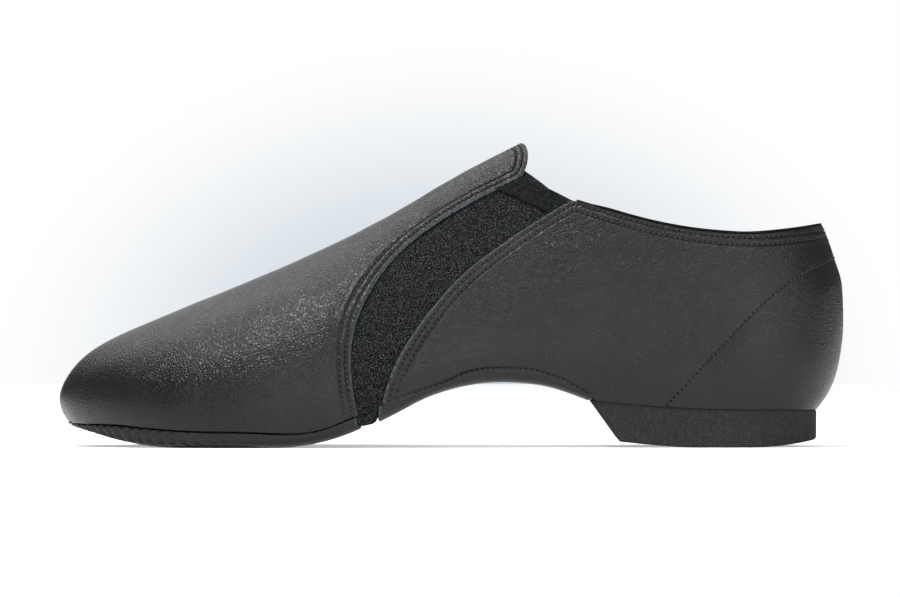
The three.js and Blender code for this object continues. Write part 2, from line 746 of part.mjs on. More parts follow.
// A piece that wraps the heel from one side to the other; s runs round it, t up it.
const roundHeel = (from, low, high) => (s, t) => {
  const a = lerp(heelTurn + (heelRadius * Math.PI) / 2, from, Math.abs(s));
  return skin(a, lerp(low(a), high(a), (t + 1) / 2), s < 0 ? -1 : 1);
};
const counterFront = 71;
const gripFront = 67.5;
add(
  'heel_counter',
  skinSheet(
    26,
    5,
    roundHeel(counterFront, (a) => seatLine(Math.min(a, 117)) + 0.8, counterLine),
    secondLayer,
    secondLayer + counterBoard,
  ),
  fibreboard,
);
const gripTop = (a) => lerp(counterLine(a) + 4.5, topLine(a) - 2, ramp(a, 88, 112));
add(
  'heel_grip',
  skinSheet(
    26,
    6,
    roundHeel(gripFront, (a) => seatLine(Math.min(a, 117)) + 1, gripTop),
    thirdLayer,
    thirdLayer + gripSuede,
  ),
  soleSuede,
);

// The dark rolled edge on top of the leather and its lining.
const bindingSpan = secondLayer + liningCloth;
const bindingFront = 41;
add(
  'topline_binding',
  skinSheet(
    28,
    1,
    roundHeel(bindingFront, (a) => topLine(a) + clearance, (a) => topLine(a) + clearance + bindingHeight),
    0,
    bindingSpan,
  ),
  ribbedHem,
);

// ---------------------------------------------------------------- forefoot sole

const wrapRear = -28.6;
add(
  'forefoot_wrap',
  sheet(14, 16, (s, t) => {
    const { rho, girth, side } = foreGrid(s, t);
    const where = t > 0 ? t * (wrapRear - toeFan) : girth;
    return undersidePair(rho, where, side, wrapShape, 0, leather);
  }),
  smoothLeather,
);

const outsoleLevel = (x, y) => grade([x, y, soleLine(x)]);
add(
  'forefoot_outsole',
  roundPlate(
    outsoleSpan[0],
    outsoleSpan[1],
    2.6,
    (x, side) => halfAt(x, feather(x), side) - outsoleMargin,
    outsoleLevel,
    outsoleThickness,
  ),
  soleSuede,
);

const insoleHeight = outsoleThickness + leather + 2 * clearance;
const insoleRear = -39;
add('forefoot_insole', forePlate(insoleRear, insoleMargin, insoleHeight, insoleBoard), fibreboard);
const sockHeight = insoleHeight + insoleBoard + clearance;
const sockRear = -41;
add('forefoot_sock', forePlate(sockRear, sockMargin, sockHeight, sockFoam), latexFoam);

// ---------------------------------------------------------------- arch

const archSpan = [-22.4, 43.4];
const archLiningSpan = [-13.5, 41];
const waistSpan = [-36, -16.5];
const trough = ([from, to], reach, columns, rows, shape, outer, inner) =>
  sheet(columns, rows, (s, t) => {
    const girth = lerp(from, to, (t + 1) / 2) - toeFan;
    return undersidePair(Math.abs(s) * reach, girth, s < 0 ? -1 : 1, shape, outer, inner);
  });

add('arch_wrap', trough(archSpan, 1, 12, 12, archShape, 0, leather), smoothLeather);
add(
  'arch_lining',
  trough(archLiningSpan, 0.96, 12, 8, archShape, secondLayer, secondLayer + liningCloth),
  cottonLining,
);

// The strip of stretch cloth that joins the two halves of the sole under the waist of the foot.
const waistBottom = (x) => lerp(soleLine(Math.min(x, -28)), archLine(Math.max(x, -24.5)), ramp(x, -30, -23));
const intoArch = (x) => ramp(x, -30, -22.5);
const waistShape = {
  rimPoint: rimAt((x) => lerp(wrapBorder(x), hemLine(x) - rimMargin, intoArch(x)), 'waist'),
  bottom: waistBottom,
  corner: (x) => lerp(wrapCorner, archCorner, intoArch(x)),
  flatShare: 0.5,
  raise: wrapShape.raise,
};
add(
  'waist_strip',
  trough(waistSpan, 0.78, 10, 6, waistShape, secondLayer, secondLayer + stretchCloth),
  neoprene,
);

// ---------------------------------------------------------------- heel

add('heel_block', heelBlockGeometry(), cellularRubber);

const seatSpan = [47, 111];
function seatPlate(height, thickness) {
  const shrink = (backLine(12) - heelTurn) / (backLine(12) - heelTurn - seatMargin);
  const bodyX = (x) => (x > heelTurn ? heelTurn + (x - heelTurn) * shrink : x);
  const half = (x, side) => Math.max(halfAt(bodyX(x), seatLine(x), side) - seatMargin, 2);
  return sheet(6, 10, (s, t) => {
    const x = lerp(...seatSpan, (t + 1) / 2);
    const low = grade([x, centre(x) + s * half(x, s < 0 ? -1 : 1), seatLine(x)]);
    low.z += height;
    return [low, low.clone().setZ(low.z + thickness)];
  });
}
add('heel_seat_board', seatPlate(0, seatBoard), fibreboard);
const cushionHeight = seatBoard + clearance;
add('heel_cushion', seatPlate(cushionHeight, heelFoam), latexFoam);
add('heel_sock', seatPlate(cushionHeight + heelFoam + clearance, heelSockCloth), cottonLining);

// ---------------------------------------------------------------- stitch rows

const vampEdgeLength = 98;
const tabWidth = 16;
const quarterFrontLength = 92;

// Follows the rear edge of the vamp up one side, round the tongue tab and down the other side.
function vampRow(distance) {
  const trim = 0.8 * distance;
  const tab = (f) => {
    const side = f < 0 ? -1 : 1;
    const share = Math.abs(f);
    const angle = lerp(Math.PI / 2, tabCornerAngle(side), share * (1 - trim / tabWidth));
    return grade(rayHit(tabEnd(share) - distance * 1.05 - toeFan, side, angle));
  };
  const rise = (side) =>
    sampled(beside(edgeOn(vampEdge, side), side, distance), 0.01, 1 - trim / vampEdgeLength, 22);
  return [...rise(-1), ...sampled(tab, -0.8, 0.8, 7), ...rise(1).reverse()];
}
add('vamp_thread_outer', threadAlong(vampRow(rowNear), 46), polyesterThread);
add('vamp_thread_inner', threadAlong(vampRow(rowFar), 46), polyesterThread);

// Follows the front edge of a quarter, then the topline round the heel to the other side.
function quarterRow(distance, below) {
  const end = 1 - (0.5 * distance) / quarterFrontLength;
  const rise = (side) => sampled(beside(edgeOn(quarterFront, side), side, -distance), 0.07, end, 16);
  const round = (s) => roundHeel(42 + distance, (a) => topLine(a) - below, (a) => topLine(a) - below)(s, 0);
  return [...rise(-1), ...sampled(round, -1, 1, 31), ...rise(1).reverse()];
}
add('quarter_thread_outer', threadAlong(quarterRow(rowNear, 1.1), 60), polyesterThread);
add('quarter_thread_inner', threadAlong(quarterRow(rowFar, 3.4), 60), polyesterThread);

const counterRow = roundHeel(69.5, counterLine, counterLine);
add('counter_thread', threadAlong(sampled((s) => counterRow(s, 0), -1, 1, 31), 30), polyesterThread);

for (const [side, sideName] of sides) {
  const row = (share) => {
    const a = lerp(-19, 46, share);
    return skin(a, lowerEdge(a) + rowNear, side);
  };
  add(`arch_thread_${sideName}`, threadAlong(sampled(row, 0, 1, 15), 16), polyesterThread);
}

// Joins the upper to the forefoot wrap, all the way round the toe.
const seamToeShare = 0.4; // share of the seam that runs round the toe
const seamRun = 66; // from toeFan back to the seam's end
const soleSeam = (s) => {
  const side = s < 0 ? -1 : 1;
  const share = Math.abs(s);
  const behind = (share - seamToeShare) / (1 - seamToeShare);
  const girth = behind < 0 ? share / seamToeShare - 1 : behind * seamRun;
  return grade(rayHit(girth, side, borderAngle(girth, side, (x) => upperBorder(x) + 0.6, 'seam')));
};
add('sole_seam_thread', threadAlong(sampled(soleSeam, -1, 1, 45), 46), polyesterThread);

export default shoe;
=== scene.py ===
"""Slip-on split-sole jazz shoe, left foot, black leather.

The file goes the way the shoe is made: the last, the leather upper that is drawn over it, the stretch
gores, the linings, the two halves of the sole, the heel, and then the studio it stands in.
Lengths are in millimetres until a mesh is made, and then in metres.
"""

import math

import bpy
import numpy as np
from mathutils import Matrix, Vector
from mathutils.kdtree import KDTree


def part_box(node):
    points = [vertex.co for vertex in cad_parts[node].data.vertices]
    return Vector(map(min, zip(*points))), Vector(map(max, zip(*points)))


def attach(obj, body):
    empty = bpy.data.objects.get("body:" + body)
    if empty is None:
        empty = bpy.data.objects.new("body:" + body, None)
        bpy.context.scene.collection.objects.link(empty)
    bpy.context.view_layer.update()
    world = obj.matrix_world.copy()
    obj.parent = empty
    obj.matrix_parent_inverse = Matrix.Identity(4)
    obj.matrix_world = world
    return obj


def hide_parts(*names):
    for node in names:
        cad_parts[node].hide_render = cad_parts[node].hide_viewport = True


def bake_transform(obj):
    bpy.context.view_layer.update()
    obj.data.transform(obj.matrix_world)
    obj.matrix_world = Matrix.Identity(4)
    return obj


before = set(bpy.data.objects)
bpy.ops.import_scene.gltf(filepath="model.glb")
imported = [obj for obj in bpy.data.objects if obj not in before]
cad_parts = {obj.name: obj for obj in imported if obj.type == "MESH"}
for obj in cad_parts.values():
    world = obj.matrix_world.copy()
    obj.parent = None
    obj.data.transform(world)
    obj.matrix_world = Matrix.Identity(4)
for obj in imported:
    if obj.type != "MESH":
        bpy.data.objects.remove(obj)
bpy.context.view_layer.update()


# ---- The last -------------------------------------------------------------------------------------
# The foot-shaped form that the upper is lasted over. It isn't part of the shoe, but every leather and
# cloth piece takes its shape from it, so its curves come first.

LAST_TIP, TOE_CAP, TOE_FAN = -125.0, -80.0, -98.0
HEEL_TURN, HEEL_BACK = 88.0, 125.0
HEEL_RADIUS = HEEL_BACK - HEEL_TURN
LAST_LENGTH = HEEL_BACK - LAST_TIP


def curve(points):
    """A natural cubic spline through (x, value) points, straight past its ends."""
    x, y = np.array(points, float).T
    step, rise = np.diff(x), np.diff(y) / np.diff(x)
    size = len(x)
    matrix, load = np.eye(size), np.zeros(size)
    for i in range(1, size - 1):
        matrix[i, i - 1:i + 2] = step[i - 1], 2 * (step[i - 1] + step[i]), step[i]
        load[i] = 6 * (rise[i] - rise[i - 1])
    bend = np.linalg.solve(matrix, load)
    fine = np.linspace(x[0], x[-1], 3001)
    i = np.clip(np.searchsorted(x, fine) - 1, 0, size - 2)
    a, b = (x[i + 1] - fine) / step[i], (fine - x[i]) / step[i]
    table = a * y[i] + b * y[i + 1] + ((a**3 - a) * bend[i] + (b**3 - b) * bend[i + 1]) * step[i] ** 2 / 6
    first = rise[0] - step[0] * bend[1] / 6
    last = rise[-1] + step[-1] * bend[-2] / 6

    def value(at):
        at = np.asarray(at, float)
        inside = np.interp(at, fine, table)
        return inside + np.minimum(at - x[0], 0) * first + np.maximum(at - x[-1], 0) * last

    return value


def route(points):
    """A smooth line through (x, z) points, run by a share of its length."""
    points = np.array(points, float)
    run = np.concatenate([[0], np.cumsum(np.hypot(*np.diff(points, axis=0).T))])
    run /= run[-1]
    along = curve(np.column_stack([run, points[:, 0]]))
    up = curve(np.column_stack([run, points[:, 1]]))
    return lambda share: (along(share), up(share))


def ramp(x, start, end):
    """Rises smoothly from 0 at start to 1 at end."""
    t = np.clip((np.asarray(x, float) - start) / (end - start), 0, 1)
    return t * t * (3 - 2 * t)


def mix(a, b, t):
    """a where t is 0, and b where t is 1."""
    return a + (b - a) * t


# The ridge goes by the square root of its share of the length, so that the toe comes out round, and the
# back goes by height. The others go by x: the half widths to each side and their middle, the heights of
# the widest and the lowest girth, and how far the sides lean in above and tuck in below.
RIDGE = curve([(math.sqrt(d / LAST_LENGTH), z) for d, z in (
    (0, 15), (1.4, 20.3), (6.8, 27.6), (13.2, 32.4), (26, 38.5), (45.2, 46.5), (77.2, 59.9), (109.2, 76),
    (130, 87.9), (147.6, 97), (165, 105), (195, 108), (250, 106))])
BACK = curve([(12, 117.2), (16.3, 120.3), (25, 123.4), (37, 125), (47, 125), (59, 123.3), (70.5, 119.2)])
LATERAL = curve([(-125, 36), (-95, 41), (-55, 44.5), (-15, 37.5), (25, 32), (60, 30.5), (95, 31), (125, 31)])
MEDIAL = curve([(-125, 34), (-95, 38), (-62, 40.5), (-20, 32.5), (15, 28), (50, 28.5), (95, 31), (125, 31)])
MIDDLE = curve([(-125, 6), (-60, 2), (0, 1), (60, 0), (125, 0)])
WIDEST = curve([(-125, 15), (-60, 15), (-20, 24), (20, 32), (60, 37), (125, 40)])
LOWEST = curve([(-125, 6), (-60, 4), (-20, 10), (16, 20), (45, 14), (125, 11)])
LEAN = curve([(-125, -0.15), (-60, 0.1), (0, 0.6), (60, 0.6), (125, 0.3)])
TUCK = curve([(-125, 0.06), (-50, 0.06), (10, 0.14), (60, 0.16), (125, 0.16)])

# The last is graded across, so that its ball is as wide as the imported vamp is.
vamp_low, vamp_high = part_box("vamp")
ball = np.linspace(-90, 0, 91)
WIDTH_SCALE = (vamp_high.y - vamp_low.y) * 1000 / (
    (MIDDLE(ball) + MEDIAL(ball)).max() - (MIDDLE(ball) - LATERAL(ball)).min())
WIDTH_MIDDLE = ((MIDDLE(ball) + MEDIAL(ball)).max() + (MIDDLE(ball) - LATERAL(ball)).min()) / 2


def middle(x):
    """The line along the middle of the last, seen from above."""
    return (MIDDLE(x) - WIDTH_MIDDLE) * WIDTH_SCALE


def axis(x):
    """The height that rays leave the middle of the last from."""
    return mix(15.0, 30.0, ramp(x, TOE_FAN, 0))


def side_of(across):
    """-1 on the lateral side of the middle, 1 on the medial side."""
    return np.where(across < 0, -1.0, 1.0)


TOE_BLUNT, HEEL_BLUNT = 2.2, 2.4  # how square the two ends of the plan are; 2 would be round


def half_squared(x, z, side):
    """Half the width of the last, squared; negative beyond its ends and above its ridge."""
    full = TOE_CAP - LAST_TIP
    tucked = 3.6 * (np.maximum(15 - z, 0) / 8) ** 2  # the toe draws back under its tip
    toe = np.maximum(TOE_CAP - x, 0) / (full - tucked)
    heel = np.maximum(x - HEEL_TURN, 0) / (BACK(np.clip(z, 10, 75)) - HEEL_TURN)
    station = np.where(x < TOE_CAP, TOE_CAP - toe * full, x)
    station = np.where(x > HEEL_TURN, HEEL_TURN + heel * HEEL_RADIUS, station)
    cap = 1 - toe**TOE_BLUNT - heel**HEEL_BLUNT
    half = np.where(side < 0, LATERAL(station), MEDIAL(station)) * WIDTH_SCALE
    level = WIDEST(station)
    ridge = RIDGE(np.sqrt(np.maximum(station - LAST_TIP, 0) / LAST_LENGTH))
    rise = np.maximum(z - level, 0) / np.maximum(ridge - level, 0.01)
    drop = np.maximum(level - z, 0) / (level - LOWEST(station))
    above = 1 - rise * rise * (1 + LEAN(station) * (1 - rise))
    below = (1 - TUCK(station) * drop * drop) ** 2
    fill = np.where(z > level, above, below)
    square = half * half * np.abs(cap * fill)
    return np.where((cap < 0) | (fill < 0), -square, square)


def half_width(x, z, side):
    return np.sqrt(np.maximum(half_squared(x, z, side), 0))


def flank(x, z, side):
    """Points on one side of the last, at a height."""
    return np.stack([x, middle(x) + side * half_width(x, z, side), z], -1)


def outside(p):
    """Below 0 inside the last, 0 on it, and above 0 outside."""
    across = p[..., 1] - middle(p[..., 0])
    return across**2 - half_squared(p[..., 0], p[..., 2], np.sign(across))


def cast(origin, way, reach=76.0):
    """Where rays from inside the last leave it."""
    near = np.zeros(origin.shape[:-1])
    far = near + reach
    for _ in range(27):
        half = (near + far) / 2
        within = outside(origin + way * half[..., None]) < 0
        near, far = np.where(within, half, near), np.where(within, far, half)
    return origin + way * ((near + far) / 2)[..., None]


def slope(p):
    """The way out of the last at each point, which is its normal there."""
    return np.stack([(outside(p + step) - outside(p - step)) / 0.04 for step in np.eye(3) * 0.02], -1)


def unit(v):
    return v / np.maximum(np.linalg.norm(v, axis=-1, keepdims=True), 1e-12)


def settle(p):
    """Slides points that are close to the last on to its surface."""
    for _ in range(5):
        away = slope(p)
        p = p - away * (outside(p) / (away**2).sum(-1))[..., None]
    return p


def skin(a, z, side):
    """The last by girth: a is x as far as the heel's turn, then the arc round the heel."""
    a, z, side = np.broadcast_arrays(np.asarray(a, float), np.asarray(z, float), np.asarray(side, float))
    straight = flank(np.minimum(a, HEEL_TURN), z, side)
    turn = np.maximum(a - HEEL_TURN, 0) / HEEL_RADIUS
    origin = np.stack([np.full_like(z, HEEL_TURN), np.broadcast_to(middle(HEEL_TURN), z.shape), z], -1)
    way = np.stack([np.sin(turn), side * np.cos(turn), np.zeros_like(z)], -1)
    return np.where((a > HEEL_TURN)[..., None], cast(origin, way, 50.0), straight)


def ray_hit(girth, side, angle):
    """The last by rays: girth below 0 goes round the toe from -1 at its tip; above 0 it is x - TOE_FAN."""
    girth, side, angle = np.broadcast_arrays(girth, side, angle)
    x = TOE_FAN + np.maximum(girth, 0)
    turn = np.where(girth < 0, (1 + girth) * math.pi / 2, math.pi / 2)
    flat = np.cos(angle)
    way = np.stack([-np.cos(turn) * flat, side * np.sin(turn) * flat, np.sin(angle)], -1)
    return cast(np.stack([x, middle(x), axis(x)], -1), way)


def border_angle(height):
    """The angle of the ray that meets a border drawn at height(x), by girth and side."""
    girths = np.concatenate([np.linspace(-1, 0, 160, endpoint=False), np.linspace(0, 150, 200)])
    tables = []
    for side in (-1.0, 1.0):
        low, high = np.full_like(girths, -1.25), np.full_like(girths, 0.3)
        for _ in range(24):
            half = (low + high) / 2
            hit = ray_hit(girths, side, half)
            under = hit[:, 2] < height(hit[:, 0])
            low, high = np.where(under, half, low), np.where(under, high, half)
        tables.append((low + high) / 2)

    def angle(girth, side):
        return np.where(side < 0, np.interp(girth, girths, tables[0]), np.interp(girth, girths, tables[1]))

    return angle


# ---- Vamp -----------------------------------------------------------------------------------------
# One piece of smooth calf leather from the toe to the tongue tab, 1.1 mm thick. Its rear edge is cut
# raw and sewn to the gores with two rows; its lower edge is turned in at the sole seam.

LEATHER = 1.1
STITCH = 1.75  # one stitch with its hole
THREAD = 0.5
ROW_NEAR, ROW_FAR = 1.8, 4.0
TAB_SHARE = 1 / 7  # the share of each half of the rear edge that is the tongue tab

FEATHER = curve([(-121.5, 7.2), (-106.5, 7.1), (-95.8, 6.2), (-81.5, 5.3), (-60, 4.8), (-42.2, 5.5),
                 (-32.2, 9.1), (-29.4, 10.1)])
VAMP_EDGE = route([(-29.2, 10.3), (-31.1, 22.5), (-30.8, 35.2), (-26.3, 48.4), (-17.5, 61.1),
                   (-5.4, 71.2), (6, 78.2), (22.7, 86.4)])
TAB_END = curve([(0, 22.8), (0.35, 24.2), (0.7, 24.5), (1, 22.7)])


def feather(x):
    return FEATHER(np.minimum(x, -29.4))


upper_angle = border_angle(lambda x: feather(x) + 0.05)


def upper_point(rho, girth, side):
    """rho is 0 on the ridge and 1 at the sole seam."""
    low = upper_angle(girth, side)
    return ray_hit(girth, side, math.pi / 2 - rho * (math.pi / 2 - low))


def angle_of(p):
    """The angle of the ray that goes through each point."""
    return np.arctan2(p[..., 2] - axis(p[..., 0]), np.abs(p[..., 1] - middle(p[..., 0])))


def rear_edge(side, rounding=0.03):
    """The vamp's rear edge on one side, by share from the ridge to the sole, as x and rho."""
    shares = np.linspace(0, 1, 1401)
    corner = skin(*VAMP_EDGE(1.0), side)
    tab = np.minimum(shares / TAB_SHARE, 1)
    lower = skin(*VAMP_EDGE(1 - np.clip((shares - TAB_SHARE) / (1 - TAB_SHARE), 0, 1)), side)
    on_tab = shares < TAB_SHARE
    x = np.where(on_tab, TAB_END(tab), lower[:, 0])
    angle = np.where(on_tab, mix(math.pi / 2, angle_of(corner), tab), angle_of(lower))
    rho = (math.pi / 2 - angle) / (math.pi / 2 - upper_angle(x - TOE_FAN, side))
    width = int(rounding * len(shares))
    bell = np.hanning(2 * width + 1)
    bell /= bell.sum()
    mirrored = [np.concatenate([flip * v[width:0:-1], v, 2 * v[-1] - v[-2:-width - 2:-1]])
                for v, flip in ((x, 1), (rho, -1))]
    x, rho = (np.convolve(v, bell, "valid") for v in mirrored)
    return lambda share: (np.interp(share, shares, x), np.interp(share, shares, rho))


REAR = {side: rear_edge(side) for side in (-1, 1)}


def fore_grid(s, t):
    """A square from -1 to 1: its front half covers the toe as half a disc, its rear half runs straight."""
    across = s * np.sqrt(1 - np.minimum(t, 0) ** 2 / 2)
    ahead = -np.minimum(t, 0) * np.sqrt(1 - s * s / 2)
    turn = np.arctan2(np.abs(across), ahead)
    girth = np.where(t < 0, np.minimum(turn / (math.pi / 2) - 1, -1e-9), 0.0)
    return np.where(t < 0, np.hypot(across, ahead), np.abs(s)), girth, side_of(s)


def fore_part(s, t, pull=lambda share: 0 * share):
    """Points over the toe and instep, up to the vamp's rear edge less pull(share)."""
    s, t = np.meshgrid(s, t)
    rho, girth, side = fore_grid(s, t)
    share = np.abs(s)
    x = np.where(side < 0, REAR[-1](share)[0], REAR[1](share)[0]) - pull(share)
    end = np.where(side < 0, REAR[-1](share)[1], REAR[1](share)[1])
    behind = np.clip(t, 0, 1)
    rho = np.where(t < 0, rho, mix(share, end, ramp(behind, 0, 1)))
    return upper_point(rho, np.where(t < 0, girth, behind * (x - TOE_FAN)), side)


def densely(count, fine, share):
    """Steps from 0 to 1 that get closer together over the last share."""
    coarse = np.linspace(0, 1 - share, count, endpoint=False)
    return np.concatenate([coarse, np.linspace(1 - share, 1, fine)])


def tree_of(points):
    """A search tree that finds the nearest of these points."""
    tree = KDTree(len(points))
    for i, point in enumerate(points):
        tree.insert(point, i)
    tree.balance()
    return tree


class Row:
    """A sewn or cut line on the upper: its points, its length along, and which point is nearest."""

    def __init__(self, points, spacing=0.2):
        run = np.concatenate([[0], np.cumsum(np.linalg.norm(np.diff(points, axis=0), axis=1))])
        self.length = run[-1]
        self.along = np.linspace(0, run[-1], max(int(run[-1] / spacing), 8))
        self.points = settle(np.column_stack([np.interp(self.along, run, points[:, k]) for k in range(3)]))
        self.normals = unit(slope(self.points))
        self.tree = tree_of(self.points)

    def nearest(self, p, reach):
        """How far each point is from the line, and where along it, for those within reach."""
        low, high = self.points.min(0) - reach, self.points.max(0) + reach
        flat = p.reshape(-1, 3)
        far, along = np.full(len(flat), 1e3), np.zeros(len(flat))
        for k in np.flatnonzero(((flat > low) & (flat < high)).all(1)):
            _, i, distance = self.tree.find(flat[k])
            far[k], along[k] = distance, self.along[i]
        return far.reshape(p.shape[:-1]), along.reshape(p.shape[:-1])


def sewn(p, rows, depth=0.26, width=0.5):
    """How far stitching pulls the leather down at each point, less the soft swell beside each row."""
    total = np.zeros(p.shape[:-1])
    for row in rows:
        far, along = row.nearest(p, 3)
        pulled = 0.7 + 0.3 * np.cos(2 * math.pi * along / STITCH)
        total = np.maximum(total, depth * pulled * np.exp(-((far / width) ** 2)))
        total -= 0.14 * np.exp(-(((far - 1.15) / 0.5) ** 2))
    return total


CUT_BEVEL = 0.75  # a raw edge is worn round over this width, and its paler fibre shows there


def raw_edge(p, edge_row):
    """The drop of the surface towards a cut edge that puckers with its stitches, and how raw it is."""
    far, along = edge_row.nearest(p, 2.5)
    inside = np.clip(1 - far / CUT_BEVEL, 0, 1)
    drop = 0.6 * (1 - np.sqrt(1 - inside**2))
    pucker = 0.13 * np.cos(2 * math.pi * along / STITCH) * np.exp(-((far / 1.1) ** 2))
    return drop + pucker, np.clip(1.1 - far / CUT_BEVEL, 0, 1)


def waves(p, size, seed):
    """Gentle uneven swells of about one size, from -1 to 1."""
    draw = np.random.default_rng(seed)
    total = np.zeros(p.shape[:-1])
    for _ in range(9):
        way = unit(draw.normal(size=3)) * 2 * math.pi / (size * draw.uniform(0.7, 1.5))
        total += np.sin(p @ way + draw.uniform(0, 2 * math.pi))
    return total / 4.2


def sheet_mesh(name, top, bottom, edge=0.25, raw=None):
    """A closed sheet between two grids of points, with rounded rims; raw is 1 where cut fibre shows."""
    rows, columns = top.shape[:2]
    ring = [(0, j) for j in range(columns)] + [(i, columns - 1) for i in range(1, rows)]
    ring += [(rows - 1, j) for j in range(columns - 2, -1, -1)] + [(i, 0) for i in range(rows - 2, 0, -1)]
    ring = np.array(ring)
    edge = np.broadcast_to(np.asarray(edge, float), 4)
    sides = [ring[:, 0] == 0, ring[:, 0] == rows - 1, ring[:, 1] == 0, ring[:, 1] == columns - 1]
    inset = np.min([np.where(on_side, width, 9.0) for on_side, width in zip(sides, edge)], 0)[:, None]
    inner = np.column_stack([np.clip(ring[:, 0], 1, rows - 2), np.clip(ring[:, 1], 1, columns - 2)])
    upper, lower = top[ring[:, 0], ring[:, 1]], bottom[ring[:, 0], ring[:, 1]]
    depth = np.linalg.norm(lower - upper, axis=-1, keepdims=True)
    inset = np.minimum(inset, 0.45 * depth)
    down = unit(lower - upper)
    along = unit(np.roll(upper, -1, 0) - np.roll(upper, 1, 0))
    out = unit(np.cross(along, down))
    out *= np.sign((out * (upper - top[inner[:, 0], inner[:, 1]])).sum(-1))[:, None]
    top, bottom = top.copy(), bottom.copy()
    top[ring[:, 0], ring[:, 1]] -= out * inset
    bottom[ring[:, 0], ring[:, 1]] -= out * inset
    turns = np.radians([30, 60, 90])
    profile = [(math.sin(turn) - 1, 1 - math.cos(turn)) for turn in turns]
    levels = [upper + out * inset * o + down * inset * d for o, d in profile]
    levels += [lower + out * inset * o - down * inset * d for o, d in reversed(profile)]
    base, count = rows * columns, len(ring)
    i, j = np.meshgrid(np.arange(rows - 1), np.arange(columns - 1), indexing="ij")
    a = (i * columns + j).ravel()
    quads = np.column_stack([a, a + 1, a + columns + 1, a + columns])
    loop = ring[:, 0] * columns + ring[:, 1]
    loops = [loop] + [2 * base + k * count + np.arange(count) for k in range(len(levels))] + [loop + base]
    faces = [quads, quads[:, ::-1] + base]
    for one, two in zip(loops, loops[1:]):
        faces.append(np.column_stack([one, two, np.roll(two, -1), np.roll(one, -1)]))
    vertices = np.vstack([top.reshape(-1, 3), bottom.reshape(-1, 3), *levels])
    faces = np.vstack(faces)
    corners = vertices[faces[:, :3]]
    if (corners[:, 0] * np.cross(corners[:, 1], corners[:, 2])).sum() < 0:
        faces = faces[:, ::-1]
    raw = np.zeros((rows, columns)) if raw is None else raw
    rim = raw[ring[:, 0], ring[:, 1]]
    cut = np.concatenate([raw.ravel(), np.zeros(base), np.tile(rim, len(levels))])
    flush = np.zeros(len(vertices), bool)
    flush[loop[inset[:, 0] < 0.03]] = True
    return mesh_object(name, vertices, faces.tolist(), {"cut_edge": cut}, flush)


def add(name, data):
    """Puts a mesh, a light or a camera in the scene."""
    thing = bpy.data.objects.new(name, data)
    bpy.context.scene.collection.objects.link(thing)
    return thing


def mesh_object(name, vertices, faces, values=None, flush=None):
    """A smooth-shaded object in metres from millimetre vertices; edges between flush points are sharp."""
    mesh = bpy.data.meshes.new(name)
    mesh.from_pydata((vertices * 0.001).tolist(), [], faces)
    for key, numbers in (values or {}).items():
        mesh.attributes.new(key, "FLOAT", "POINT").data.foreach_set("value", numbers.astype(np.float32))
    mesh.shade_smooth()
    if flush is not None and flush.any():
        ends = np.empty(2 * len(mesh.edges), np.int32)
        mesh.edges.foreach_get("vertices", ends)
        sharp = flush[ends.reshape(-1, 2)].all(1)
        mesh.attributes.new("sharp_edge", "BOOLEAN", "EDGE").data.foreach_set("value", sharp)
    mesh.validate()
    return add(name, mesh)


RINGS, RING_POINTS = 8, 6  # the mesh of one stitch
HOLE_LONG, HOLE_WIDE = 0.46, 0.42  # half of a needle hole, along the row and across it
HOLE_POINTS = 10  # round each of its three rings


